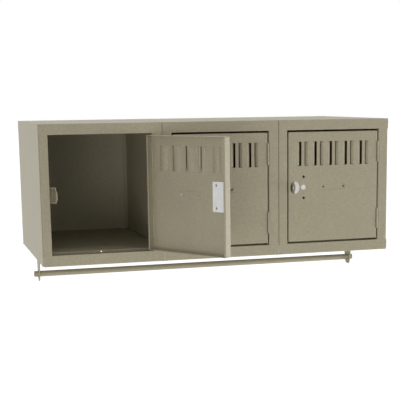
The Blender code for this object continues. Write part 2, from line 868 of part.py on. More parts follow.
def build_hinges(index, door_carrier, frame_carrier):
    """Build a door's two hinges and their pins."""
    frame_knuckles = range(0, KNUCKLE_COUNT, 2)
    door_knuckles = range(1, KNUCKLE_COUNT, 2)
    for label, middle in zip(("lower", "upper"), hinge_middles()):
        frame_name = f"hinge_frame_leaf_{label}_{index + 1}"
        door_name = f"hinge_door_leaf_{label}_{index + 1}"
        hinge_leaf(frame_name, 1, middle, frame_knuckles, frame_carrier)
        hinge_leaf(door_name, -1, middle, door_knuckles, door_carrier)
        build_hinge_pin(f"hinge_pin_{label}_{index + 1}", middle, frame_carrier)


def rod_height():
    """Return the height of the coat rod's axis."""
    return BOTTOM - ROD_DROP


def build_coat_rod():
    """Build the coat rod, its origin on its own axis."""
    name = "coat_rod"
    half = ROW_RIGHT - ROD_END_INSET
    line = [(-half, 0.0, 0.0), (half, 0.0, 0.0)]
    mesh = rods(name, [line], ROD_DIAMETER, ROD_BEVEL_RESOLUTION)
    made = add_part(name, mesh, enamel)
    made.location = (0.0, FRONT + ROD_BACK, rod_height())
    shade_round(made)
    return made


def rivet_across(side):
    """Return where a bracket's rivets stand across the row."""
    inset = BRACKET_INSET + BRACKET_GAUGE + BRACKET_LEG / 2
    return -side * (ROW_RIGHT - inset)


def rivet_places():
    """Return where a bracket's two rivets stand along the depth."""
    middle = FRONT + ROD_BACK
    return middle - RIVET_SPACING / 2, middle + RIVET_SPACING / 2


def bracket_outline():
    """Return a bracket's outline, seen along the rod."""
    middle = FRONT + ROD_BACK
    high = BOTTOM - SEAM
    neck = high - BRACKET_FILLET
    tip = BOTTOM - BRACKET_DROP
    fillet_width = (BRACKET_TOP_WIDTH - BRACKET_NECK_WIDTH) / 2
    half = [(BRACKET_TOP_WIDTH / 2, high)]
    for step in range(1, CORNER_STEPS + 1):
        angle = math.pi / 2 * step / CORNER_STEPS
        half.append((
            BRACKET_TOP_WIDTH / 2 - fillet_width * math.sin(angle),
            neck + BRACKET_FILLET * math.cos(angle) - BRACKET_GAUGE * math.sin(angle),
        ))
    half.append((BRACKET_TIP_WIDTH / 2, tip + BRACKET_TIP_CHAMFER))
    half.append((BRACKET_TIP_FLAT / 2, tip))
    right = [(middle + across, up) for across, up in half]
    left = [(middle - across, up) for across, up in reversed(half)]
    return right + left


def build_rod_bracket(name, side):
    """Build a rod bracket: side is 1 for the left end and -1 for the right."""
    outer = -side * (ROW_RIGHT - BRACKET_INSET)
    inner = outer + side * BRACKET_GAUGE
    leg_end = inner + side * BRACKET_LEG
    middle = FRONT + ROD_BACK
    lift = ROD_HOLE_PLAY / math.sqrt(2)
    half_diagonal = ROD_HOLE_SIDE / math.sqrt(2)
    centre = rod_height() + lift
    hole = [
        (middle, centre - half_diagonal),
        (middle + half_diagonal, centre),
        (middle, centre + half_diagonal),
        (middle - half_diagonal, centre),
    ]
    start = min(outer, inner)
    mesh = plate(name, [bracket_outline(), hole], "X", start, BRACKET_GAUGE)
    made = add_part(name, mesh, enamel)
    leg_low = (
        min(outer, leg_end),
        middle - BRACKET_NECK_WIDTH / 2,
        BOTTOM - SEAM - BRACKET_GAUGE,
    )
    leg_high = (
        max(outer, leg_end),
        middle + BRACKET_NECK_WIDTH / 2,
        BOTTOM - SEAM,
    )
    leg = slabs(name, [(leg_low, leg_high)])
    combine(made, add_operand(name + "_leg", leg), "UNION")
    holes = [
        circle(rivet_across(side), along, RIVET_DIAMETER + 2 * SEAM, HOLE_SEGMENTS)
        for along in rivet_places()
    ]
    cut = plate(name, holes, "Z", leg_low[2] - OVERRUN, BRACKET_GAUGE + 2 * OVERRUN)
    combine(made, add_operand(name + "_holes", cut), "DIFFERENCE")
    return made


def rivet_mesh(name):
    """Return the profile of a rivet, from its upper head to its lower one."""
    upper_seat = BOTTOM + BODY_GAUGE + SEAM
    lower_seat = BOTTOM - BRACKET_GAUGE - 2 * SEAM
    head = RIVET_HEAD_DIAMETER / 2
    arc = [math.pi / 2 * step / RIVET_HEAD_STEPS for step in range(RIVET_HEAD_STEPS + 1)]
    points = [
        (head * math.sin(angle), upper_seat + RIVET_HEAD_HEIGHT * math.cos(angle))
        for angle in arc
    ]
    points += [(RIVET_DIAMETER / 2, upper_seat), (RIVET_DIAMETER / 2, lower_seat)]
    points += [
        (head * math.sin(angle), lower_seat - RIVET_HEAD_HEIGHT * math.cos(angle))
        for angle in reversed(arc)
    ]
    work = bmesh.new()
    corners = [work.verts.new((across, 0.0, up)) for across, up in points]
    for first, second in zip(corners, corners[1:]):
        work.edges.new((first, second))
    made = bpy.data.meshes.new(name)
    work.to_mesh(made)
    work.free()
    return made


def build_rivet(name, across, along):
    """Build one rivet that holds a rod bracket to a foot flange."""
    made = add_part(name, rivet_mesh(name), zinc_plate)
    made.location = (across, along, 0.0)
    turn = made.modifiers.new("Turn", "SCREW")
    turn.axis = "Z"
    turn.steps = RIVET_SEGMENTS
    turn.render_steps = RIVET_SEGMENTS
    turn.use_merge_vertices = True
    turn.merge_threshold = MERGE_DISTANCE
    return made


def build_body():
    """Build the upright sheets, tops, floors and backs."""
    names = ("side_left", "partition_left", "partition_right", "side_right")
    for boundary, name in enumerate(names):
        build_upright_sheet(name, boundary)
    for index in range(UNIT_COUNT):
        build_top(index)
        build_floor(index)
        build_back(index)


def build_front(index):
    """Build one unit's front frame and strike."""
    build_rail_top(index)
    build_rail_bottom(index)
    build_latch_jamb(index)
    build_hinge_jamb(index)
    build_strike(index)


def build_door_set(index):
    """Build one door with its lock cover and hinges, at its rest angle."""
    place = hinge_line(index)
    door_carrier = add_carrier(f"door_axis_{index + 1}", place, DOOR_REST_ANGLES[index])
    frame_carrier = add_carrier(f"hinge_axis_{index + 1}", place, 0.0)
    build_door(index, door_carrier)
    build_lock_cover(index, door_carrier)
    build_hinges(index, door_carrier, frame_carrier)


def build_rod_set():
    """Build the coat rod with its brackets and fasteners."""
    build_coat_rod()
    build_rod_bracket("rod_bracket_left", 1)
    build_rod_bracket("rod_bracket_right", -1)
    for end, side in (("left", 1), ("right", -1)):
        for row, along in zip(("front", "rear"), rivet_places()):
            build_rivet(f"rivet_{end}_{row}", rivet_across(side), along)


def main():
    """Build the whole row."""
    clear_scene()
    make_collection(PARTS_NAME, False)
    make_collection(CUTTERS_NAME, True)
    build_body()
    for index in range(UNIT_COUNT):
        build_front(index)
        build_door_set(index)
    build_rod_set()


main()
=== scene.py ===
"""Looks of a wall-hung row of three box lockers with a coat rod under it.

The row's width runs along X, its depth along Y with the wall at zero and the
doors facing -Y, and its height along Z with zero halfway up the backs.
"""

import json
import logging
import math
from collections.abc import Iterable, Sequence
from dataclasses import dataclass, field
from enum import Enum

import bmesh
import bpy
import numpy as np
from mathutils import Matrix, Vector
from mathutils.geometry import delaunay_2d_cdt


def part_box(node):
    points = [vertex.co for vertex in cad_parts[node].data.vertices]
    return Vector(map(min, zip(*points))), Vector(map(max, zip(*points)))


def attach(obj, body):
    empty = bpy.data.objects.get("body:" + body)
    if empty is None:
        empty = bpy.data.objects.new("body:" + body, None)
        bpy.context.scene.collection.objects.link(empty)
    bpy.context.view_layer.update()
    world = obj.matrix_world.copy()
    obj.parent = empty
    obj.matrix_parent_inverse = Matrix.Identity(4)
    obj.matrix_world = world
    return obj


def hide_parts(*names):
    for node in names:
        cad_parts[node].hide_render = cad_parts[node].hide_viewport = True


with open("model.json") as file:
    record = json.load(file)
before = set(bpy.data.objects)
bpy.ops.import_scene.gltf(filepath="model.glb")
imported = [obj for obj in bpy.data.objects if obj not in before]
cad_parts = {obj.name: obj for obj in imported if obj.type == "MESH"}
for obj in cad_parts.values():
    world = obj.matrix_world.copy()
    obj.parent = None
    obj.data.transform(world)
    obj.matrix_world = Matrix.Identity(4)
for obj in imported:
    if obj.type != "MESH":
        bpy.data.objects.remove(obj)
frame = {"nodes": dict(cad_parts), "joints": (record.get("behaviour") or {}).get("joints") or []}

LOG = logging.getLogger("box_locker")
MM = 0.001
UNIT_COUNT = 3
QUARTER = math.pi / 2

# Chords in the arc of a fold or a rounded corner
ARC_STEPS = 6

# The angle past which an edge counts as cut, and how firmly large faces hold their normals
SHARP_ANGLE = math.radians(50.0)
FLAT_WEIGHT = 60

# Points nearer than this are welded into one
WELD_DISTANCE = 0.002 * MM

# Lengths below this count as none, and the finest step of a triangulation
NO_LENGTH = 1e-7
PLATE_STEP = 1e-9

# A direction counts as level when its share across the row is over this
LEVEL_SHARE = 0.999

# A panel's outline is grown by this share, so that its own points lie inside it
PANEL_SHARE = 1.001

# Widths of the foot flanges under the row's end sheets and under its partitions
END_FOOT = 45 * MM
PARTITION_FOOT = 12 * MM


class Lie(Enum):
    """Which of the row's axes a flat outline's across, up and depth run along."""

    FRONT = (0, 2, 1)
    SIDE = (1, 2, 0)
    PLAN = (0, 1, 2)

    def place(self, across: np.ndarray, up: np.ndarray, depth: np.ndarray) -> np.ndarray:
        """Place a flat outline's points in the row.

        Args:
            across: Places along the first of the lie's axes.
            up: Places along the second.
            depth: Places along the third.

        Returns:
            The points, with the three spread to one shape.
        """
        spread = np.broadcast_arrays(across, up, depth)
        points = np.empty(spread[0].shape + (3,))
        for axis, values in zip(self.value, spread):
            points[..., axis] = values
        return points


def linear(code: str) -> tuple[float, float, float, float]:
    """Turn an sRGB hex colour into a linear one.

    A value up to 0.04045 is divided by 12.92. Above that, it has 0.055 added,
    is divided by 1.055 and raised to the power of 2.4.

    Args:
        code: The colour, as a hash mark and six hex digits.

    Returns:
        Linear red, green and blue and a full alpha.
    """
    values = [int(code[start : start + 2], 16) / 255 for start in (1, 3, 5)]
    red, green, blue = (
        value / 12.92 if value <= 0.04045 else ((value + 0.055) / 1.055) ** 2.4
        for value in values
    )
    return red, green, blue, 1.0


def add_node(
    tree: bpy.types.NodeTree,
    kind: str,
    settings: dict[str, object] | None = None,
    values: dict[str | int, object] | None = None,
    links: dict[str | int, bpy.types.NodeSocket] | None = None,
) -> bpy.types.Node:
    """Add a node with its settings and links.

    Args:
        tree: The node tree it goes into.
        kind: The node's type name without the ShaderNode prefix.
        settings: The node's own properties.
        values: Values of its unlinked inputs, by name or number.
        links: Outputs of other nodes that feed its inputs.

    Returns:
        The node.
    """
    node = tree.nodes.new("ShaderNode" + kind)
    for key, value in (settings or {}).items():
        setattr(node, key, value)
    for key, value in (values or {}).items():
        node.inputs[key].default_value = value
    for key, source in (links or {}).items():
        tree.links.new(source, node.inputs[key])
    return node


@dataclass(frozen=True)
class Finish:
    """What every finish on the row shares.

    Args:
        name: The real finish, in a maker's words.
        colour: Its colour as an sRGB hex value.
        roughness: The middle of its roughness.
        metallic: One for bare metal and zero for paint.
        specular: The strength of its mirror share, half for most things.
        mottle: How far its colour drifts, as a share.
        mottle_size: The width of one drift patch.
        grain_size: The width of one bump of its surface.
        grain_height: The height of that bump.
        speck: How far single specks differ in brightness, as a share.
        wear_and_highlight: How much lighter the finish is on an edge, for wear and a painted
            highlight, as a share.
        crevice_shade: How much darker it is painted down in a seam or a hole, a painted shade, as
            a share.
        speck_share: The width of a speck, as a share of the grain size.
        sheen_swing: How far its roughness drifts to either side.
        noise_roughness: How strong the finer parts of its noises are.
        noise_range: Which stretch of a noise makes the full drift.
        edge_radius: The rounding from which an edge for wear and the painted highlight is found.
        edge_range: The rounded normal times the face's own, on a fully lightened edge and on a
            flat.
        crevice_reach: How near the other wall of a seam or a hole counts.
        crevice_range: How open a seam is where the painted shade is full, and a face where it
            stops.
    """

    name: str
    colour: str
    roughness: float
    metallic: float = 0.0
    specular: float = 0.5
    mottle: float = 0.03
    mottle_size: float = 90 * MM
    grain_size: float = 3.2 * MM
    grain_height: float = 0.04 * MM
    speck: float = 0.1
    # Edges lighter, partly for wear and partly a painted highlight
    wear_and_highlight: float = 0.16
    # Painted shade: how much darker seams and holes are painted
    crevice_shade: float = 0.8
    speck_share: float = 0.8
    sheen_swing: float = 0.05
    noise_roughness: float = 0.55
    noise_range: tuple[float, float] = (0.3, 0.7)
    edge_radius: float = 1.2 * MM
    edge_range: tuple[float, float] = (0.75, 0.99)
    crevice_reach: float = 3 * MM
    crevice_range: tuple[float, float] = (0.15, 0.8)

    def material(self) -> bpy.types.Material:
        """Return the finish's material, made once and then shared."""
        known = bpy.data.materials.get(self.name)
        return known or self.make()

    def make(self) -> bpy.types.Material:
        """Make the material: drifting colour, fine grain, edges lightened for wear and a painted
        highlight, and a painted shade in crevices.

        The colour is the finish's own, times one plus a slow noise and a fast
        one, lighter where the bevelled normal leaves the face's normal, for wear
        and a painted highlight, and darker in a crevice, a painted shade.

        Returns:
            The material.
        """
        made = bpy.data.materials.new(self.name)
        made.use_nodes = True
        tree = made.node_tree
        tree.nodes.clear()
        place = add_node(tree, "TexCoord").outputs["Object"]
        drift = self.noise(tree, place, self.mottle_size, detail=3.0)
        specks = self.noise(tree, place, self.grain_size * self.speck_share, detail=1.0)
        grain = self.noise(tree, place, self.grain_size, detail=2.0)
        edge = self.edge(tree)
        brightness = self.mix_up(tree, [(drift, self.mottle), (specks, self.speck)])
        # Edges lightened, partly for wear and partly a painted highlight
        worn_and_highlit = add_node(
            tree,
            "Math",
            settings={"operation": "MULTIPLY_ADD"},
            values={1: self.wear_and_highlight},
            links={0: edge, 2: brightness},
        ).outputs[0]
        # Painted shade: darker down in seams and holes, where less light reaches
        shaded = add_node(
            tree,
            "Math",
            settings={"operation": "MULTIPLY"},
            links={0: worn_and_highlit, 1: self.crevice(tree)},
        ).outputs[0]
        shade = add_node(
            tree,
            "HueSaturation",
            values={"Color": linear(self.colour)},
            links={"Value": shaded},
        )
        least, most = self.roughness - self.sheen_swing, self.roughness + self.sheen_swing
        sheen = add_node(
            tree,
            "MapRange",
            values={"To Min": least, "To Max": most},
            links={"Value": drift},
        )
        bump = add_node(
            tree,
            "Bump",
            values={"Strength": 1.0, "Distance": self.grain_height},
            links={"Height": grain},
        )
        surface = add_node(
            tree,
            "BsdfPrincipled",
            values={"Metallic": self.metallic, "Specular IOR Level": self.specular},
            links={
                "Base Color": shade.outputs["Color"],
                "Roughness": sheen.outputs["Result"],
                "Normal": bump.outputs["Normal"],
            },
        )
        add_node(tree, "OutputMaterial", links={"Surface": surface.outputs[0]})
        return made

    def noise(
        self,
        tree: bpy.types.NodeTree,
        place: bpy.types.NodeSocket,
        width: float,
        detail: float,
    ) -> bpy.types.NodeSocket:
        """Add a noise.

        Args:
            tree: The material's node tree.
            place: The Object coordinates.
            width: The width of one patch.
            detail: How many finer noises are laid over it.

        Returns:
            The noise, from nought to one.
        """
        values = {"Scale": 1 / width, "Detail": detail, "Roughness": self.noise_roughness}
        return add_node(tree, "TexNoise", values=values, links={"Vector": place}).outputs[0]

    def edge(self, tree: bpy.types.NodeTree) -> bpy.types.NodeSocket:
        """Find the edges for wear and the painted highlight, from how far a rounded normal leans.

        Args:
            tree: The material's node tree.

        Returns:
            One along an edge and nought on a flat.
        """
        rounded = add_node(
            tree, "Bevel", settings={"samples": 4}, values={"Radius": self.edge_radius}
        )
        plain = add_node(tree, "NewGeometry")
        dot = add_node(
            tree,
            "VectorMath",
            settings={"operation": "DOT_PRODUCT"},
            links={0: rounded.outputs[0], 1: plain.outputs["Normal"]},
        )
        on_edge, flat = self.edge_range
        values = {"From Min": on_edge, "From Max": flat, "To Min": 1.0, "To Max": 0.0}
        links = {"Value": dot.outputs["Value"]}
        return add_node(tree, "MapRange", values=values, links=links).outputs[0]

    def crevice(self, tree: bpy.types.NodeTree) -> bpy.types.NodeSocket:
        """Find the seams and holes, from how open the surface is, for the painted shade in them.

        Args:
            tree: The material's node tree.

        Returns:
            One on an open face and less the deeper a seam or a hole is.
        """
        near = add_node(
            tree,
            "AmbientOcclusion",
            settings={"samples": 6},
            values={"Distance": self.crevice_reach},
        )
        shaded, unshaded = self.crevice_range
        # Map the occlusion to a painted shade, darkest deep in a seam or a hole
        values = {"From Min": shaded, "From Max": unshaded, "To Min": 1 - self.crevice_shade, "To Max": 1.0}
        links = {"Value": near.outputs["AO"]}
        return add_node(tree, "MapRange", values=values, links=links).outputs[0]

    def mix_up(
        self,
        tree: bpy.types.NodeTree,
        parts: Iterable[tuple[bpy.types.NodeSocket, float]],
    ) -> bpy.types.NodeSocket:
        """Add noises up to a brightness: one plus each noise's share of drift.

        Args:
            tree: The material's node tree.
            parts: Each noise, and how far it drifts the brightness.

        Returns:
            The brightness.
        """
        total = None
        low, high = self.noise_range
        for noise, share in parts:
            values = {"From Min": low, "From Max": high, "To Min": -share, "To Max": share}
            swing = add_node(tree, "MapRange", values=values, links={"Value": noise})
            links = {0: swing.outputs[0]}
            base = {1: 1.0}
            if total is not None:
                links[1] = total
                base = {}
            added = add_node(tree, "Math", {"operation": "ADD"}, values=base, links=links)
            total = added.outputs[0]
        return total


# Powder coat enamel, sprayed and baked: warm grey tan, a soft sheen and a fine
# orange peel, drawn about twice as coarse as it is so that it shows at all
TAN_ENAMEL = Finish("powder coat enamel tan", "#a9a28a", 0.48, specular=0.35)

# The same enamel on inner sheets, a shade deeper: a painted shade for the dim inside, with a
# stronger painted highlight and wear on its edges
INSIDE_ENAMEL = Finish("powder coat enamel inside", "#a19a82", 0.55, specular=0.3, wear_and_highlight=0.5)

# Bright zinc plate on stamped sheet: pale grey with a soft cloudy sheen
ZINC_PLATE = Finish(
    "zinc plate",
    "#ebebea",
    0.45,
    metallic=0.1,
    # Less painted shade in its seams and holes
    crevice_shade=0.3,
    mottle=0.05,
    mottle_size=14 * MM,
    grain_size=1.2 * MM,
    grain_height=0.01 * MM,
    speck=0.03,
    # A light painted highlight and wear on its edges
    wear_and_highlight=0.2,
)

# Drawn steel wire, oiled: darker and glossier than the plate
DRAWN_STEEL = Finish(
    "drawn steel",
    "#b4b0a6",
    0.32,
    metallic=1.0,
    mottle=0.06,
    mottle_size=6 * MM,
    grain_size=0.8 * MM,
    grain_height=0.01 * MM,
    speck=0.05,
    # A light painted highlight and wear on its edges
    wear_and_highlight=0.1,
)


def rounded_path(
    points: Sequence[tuple[float, float]],
    radii: float | Sequence[float],
    steps: int = ARC_STEPS,
) -> np.ndarray:
    """Round the inner corners of an open path.

    Each corner turns on an arc, centre + radius (cos a, sin a), that leaves
    both legs at radius times the tangent of half the turn from the corner.

    Args:
        points: The path's corners, as across and up.
        radii: One radius for all inner corners, or one for each.
        steps: How many chords each arc has.

    Returns:
        The rounded path's points, one row each.
    """
    corners = np.array(points, float)
    inner = len(corners) - 2
    sizes = [radii] * inner if isinstance(radii, float) else list(radii)
    rows = [corners[:1]]
    for corner, before, after, radius in zip(corners[1:-1], corners, corners[2:], sizes):
        entry = (corner - before) / np.linalg.norm(corner - before)
        leave = (after - corner) / np.linalg.norm(after - corner)
        cross = entry[0] * leave[1] - entry[1] * leave[0]
        turn = math.atan2(cross, float(entry @ leave))
        start = corner - entry * radius * math.tan(abs(turn) / 2)
        normal = np.array([-entry[1], entry[0]]) * np.sign(turn)
        angles = np.linspace(0.0, turn, steps + 1)
        spoke = -normal
        spun = np.stack(
            [
                spoke[0] * np.cos(angles) - spoke[1] * np.sin(angles),
                spoke[0] * np.sin(angles) + spoke[1] * np.cos(angles),
            ],
            axis=1,
        )
        rows.append(start + normal * radius + spun * radius)
    rows.append(corners[-1:])
    return np.concatenate(rows)


def circle(across: float, up: float, width: float, height: float, count: int) -> np.ndarray:
    """Return an ellipse's points, centre + half size times (cos a, sin a)."""
    angles = np.linspace(0.0, 2 * math.pi, count, endpoint=False)
    return np.stack([across + width / 2 * np.cos(angles), up + height / 2 * np.sin(angles)], 1)


def rectangle(left: float, low: float, right: float, high: float) -> np.ndarray:
    """Return a rectangle's four corners, anticlockwise from the lower left."""
    return np.array([(left, low), (right, low), (right, high), (left, high)], float)


def inside(points: np.ndarray, loop: np.ndarray) -> np.ndarray:
    """Say which points lie in a closed loop.

    A point is inside where a level ray from it crosses an odd number of the
    loop's edges: an edge counts if its ends straddle the point's height and it
    meets that height to the point's right.

    Args:
        points: The points, as across and up.
        loop: The loop's corners, in order.

    Returns:
        True for each point inside.
    """
    start, end = loop, np.roll(loop, -1, axis=0)
    across, up = points[:, :1], points[:, 1:]
    straddles = (start[:, 1] > up) != (end[:, 1] > up)
    rise = np.where(end[:, 1] == start[:, 1], 1.0, end[:, 1] - start[:, 1])
    meets = start[:, 0] + (up - start[:, 1]) * (end[:, 0] - start[:, 0]) / rise
    return (straddles & (across < meets)).sum(axis=1) % 2 == 1


@dataclass
class Sheet:
    """Points and faces of one surface, before it gets its gauge."""

    points: list[np.ndarray] = field(default_factory=list)
    faces: list[np.ndarray] = field(default_factory=list)

    def add(self, points: np.ndarray, faces: np.ndarray) -> None:
        """Add points and the faces between them.

        Args:
            points: Places in the row, in any shape of table.
            faces: Numbers of the points round each face.
        """
        offset = sum(len(part) for part in self.points)
        self.points.append(points.reshape(-1, 3))
        self.faces.append(faces + offset)

    def add_grid(self, grid: np.ndarray, keep: np.ndarray | None = None) -> None:
        """Add a grid of points as four-sided faces.

        Args:
            grid: Points in rows and columns.
            keep: Which cells stay; all of them if it isn't given.
        """
        rows, columns = grid.shape[:2]
        order = np.arange(rows * columns).reshape(rows, columns)
        cells = np.stack([order[:-1, :-1], order[1:, :-1], order[1:, 1:], order[:-1, 1:]], axis=-1)
        kept = cells.reshape(-1, 4) if keep is None else cells[keep]
        self.add(grid, kept)

    def add_sweep(
        self,
        profile: np.ndarray,
        lie: Lie,
        stations: Sequence[float],
        keep: np.ndarray | None = None,
    ) -> None:
        """Carry a profile straight along the axis that its lie leaves free.

        The point for profile row i and station j is the row's across and up,
        at the station's depth.

        Args:
            profile: The profile's points, as across and up.
            lie: How the profile lies in the row.
            stations: Places along the free axis.
            keep: Which cells stay; all of them if it isn't given.
        """
        depth = np.array(stations, float)[None, :]
        self.add_grid(lie.place(profile[:, :1], profile[:, 1:2], depth), keep)

    def add_plate(
        self,
        outer: np.ndarray,
        holes: Sequence[np.ndarray],
        lie: Lie,
        depth: float,
        pressed: Sequence[tuple[np.ndarray, np.ndarray, float]] = (),
    ) -> None:
        """Add a flat plate with holes and pressed panels.

        The plate is a constrained triangulation of its outlines. A point
        within a panel's inner outline moves by the panel's depth, so the band
        between its two outlines becomes a slope.

        Args:
            outer: The plate's outline.
            holes: Outlines of its holes.
            lie: How it lies in the row.
            depth: Where its surface is on the axis across it.
            pressed: Outer outline, inner outline and depth of each panel.
        """
        loops = [outer, *holes]
        for rim, floor, _ in pressed:
            loops += [rim, floor]
        points = np.concatenate(loops)
        edges = []
        start = 0
        for loop in loops:
            order = np.arange(len(loop))
            edges += (np.stack([order, np.roll(order, -1)], 1) + start).tolist()
            start += len(loop)
        found = delaunay_2d_cdt([Vector(p) for p in points.tolist()], edges, [], 1, PLATE_STEP)
        flat = np.array([tuple(p) for p in found[0]])
        faces = np.array(found[2])
        middles = flat[faces].mean(axis=1)
        gone = np.zeros(len(faces), bool)
        for hole in holes:
            gone |= inside(middles, hole)
        level = np.full(len(flat), depth)
        for rim, floor, travel in pressed:
            middle = floor.mean(axis=0)
            grown = middle + (floor - middle) * PANEL_SHARE
            level[inside(flat, grown)] += travel
        self.add(lie.place(flat[:, 0], flat[:, 1], level), faces[~gone])

    def turned(self, turn: Matrix) -> "Sheet":
        """Return the surface moved by a matrix: each point times it."""
        table = np.array(turn)
        moved = [part @ table[:3, :3].T + table[:3, 3] for part in self.points]
        return Sheet(moved, list(self.faces))

    def mesh(self, name: str, outward: Sequence[float] | None) -> bpy.types.Mesh:
        """Weld the surface and turn its faces outwards.

        Args:
            name: The mesh's name.
            outward: Where the largest face looks, or None for a closed form.

        Returns:
            The mesh.
        """
        made = bpy.data.meshes.new(name)
        faces = [row for part in self.faces for row in part.tolist()]
        made.from_pydata(np.concatenate(self.points), [], faces)
        work = bmesh.new()
        work.from_mesh(made)
        bmesh.ops.remove_doubles(work, verts=work.verts, dist=WELD_DISTANCE)
        bmesh.ops.dissolve_degenerate(work, edges=work.edges, dist=WELD_DISTANCE)
        bmesh.ops.recalc_face_normals(work, faces=work.faces)
        if outward is not None:
            work.normal_update()
            largest = max(work.faces, key=lambda face: face.calc_area())
            if largest.normal.dot(Vector(outward)) < 0:
                bmesh.ops.reverse_faces(work, faces=work.faces)
        work.to_mesh(made)
        work.free()
        return made


@dataclass
class Piece:
    """One shown piece: its surface, gauge, finish and what carries it.

    Args:
        name: The piece's name.
        body: The body that it moves with.
        finish: Its finish.
        stands_for: The solids that it is shown in place of.
        gauge: The thickness grown behind its surface, or zero if it is closed.
        outward: Where its largest face looks, or None if it is closed.
        rim: The rounding of its cut edges.
    """

    name: str
    body: str
    finish: Finish
    stands_for: tuple[str, ...] = ()
    gauge: float = 0.0
    outward: tuple[float, float, float] | None = None
    rim: float = 0.25 * MM

    def show(self, sheet: Sheet) -> bpy.types.Object:
        """Make the piece from its surface and hang it on its body.

        Args:
            sheet: The surface, where it is at rest.

        Returns:
            The finished object.
        """
        made = bpy.data.objects.new(self.name, sheet.mesh(self.name, self.outward))
        bpy.context.scene.collection.objects.link(made)
        if self.gauge:
            wall = made.modifiers.new("Gauge", "SOLIDIFY")
            wall.thickness = self.gauge
            wall.offset = -1.0
            wall.use_even_offset = True
        if self.rim:
            rim = made.modifiers.new("Rim", "BEVEL")
            rim.width = self.rim
            rim.segments = 2
            rim.limit_method = "ANGLE"
            rim.angle_limit = SHARP_ANGLE
        settle(made)
        smooth(made)
        dress(made, self.finish)
        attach(made, self.body)
        if self.stands_for:
            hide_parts(*self.stands_for)
        LOG.info("%s: %d faces on %s", self.name, len(made.data.polygons), self.body)
        return made


def settle(target: bpy.types.Object) -> None:
    """Turn a piece's modifiers into plain mesh.

    Args:
        target: The piece's object.
    """
    graph = bpy.context.evaluated_depsgraph_get()
    flat = bpy.data.meshes.new_from_object(target.evaluated_get(graph))
    flat.name = target.name
    target.modifiers.clear()
    target.data = flat


def smooth(target: bpy.types.Object) -> None:
    """Shade a piece smooth, its large faces holding their own normals.

    Args:
        target: The piece's object.
    """
    target.data.shade_smooth()
    target.data.set_sharp_from_angle(angle=SHARP_ANGLE)
    weigh = target.modifiers.new("Weigh", "WEIGHTED_NORMAL")
    weigh.mode = "FACE_AREA"
    weigh.weight = FLAT_WEIGHT
    weigh.keep_sharp = True
    settle(target)


def dress(target: bpy.types.Object, finish: Finish) -> None:
    """Give a piece or a solid shown as it is its finish.

    Args:
        target: The piece's object, or the solid's.
        finish: The finish.
    """
    material = finish.material()
    target.data.materials.clear()
    target.data.materials.append(material)


def span(node: str) -> tuple[np.ndarray, np.ndarray]:
    """Return the lowest and highest corner of a node as arrays."""
    low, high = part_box(node)
    return np.array(low), np.array(high)


@dataclass(frozen=True)
class BarrelCut:
    """The cut that a door and its frame have where a hinge's barrel stands."""

    height: float = 53.5 * MM
    depth: float = 3.05 * MM
    clearance: float = 0.3 * MM

    def ends(self, middle: float) -> tuple[float, float]:
        """Return the cut's lowest and highest place about a hinge's middle."""
        half = self.height / 2 + self.clearance
        return middle - half, middle + half


BARREL_CUT = BarrelCut()


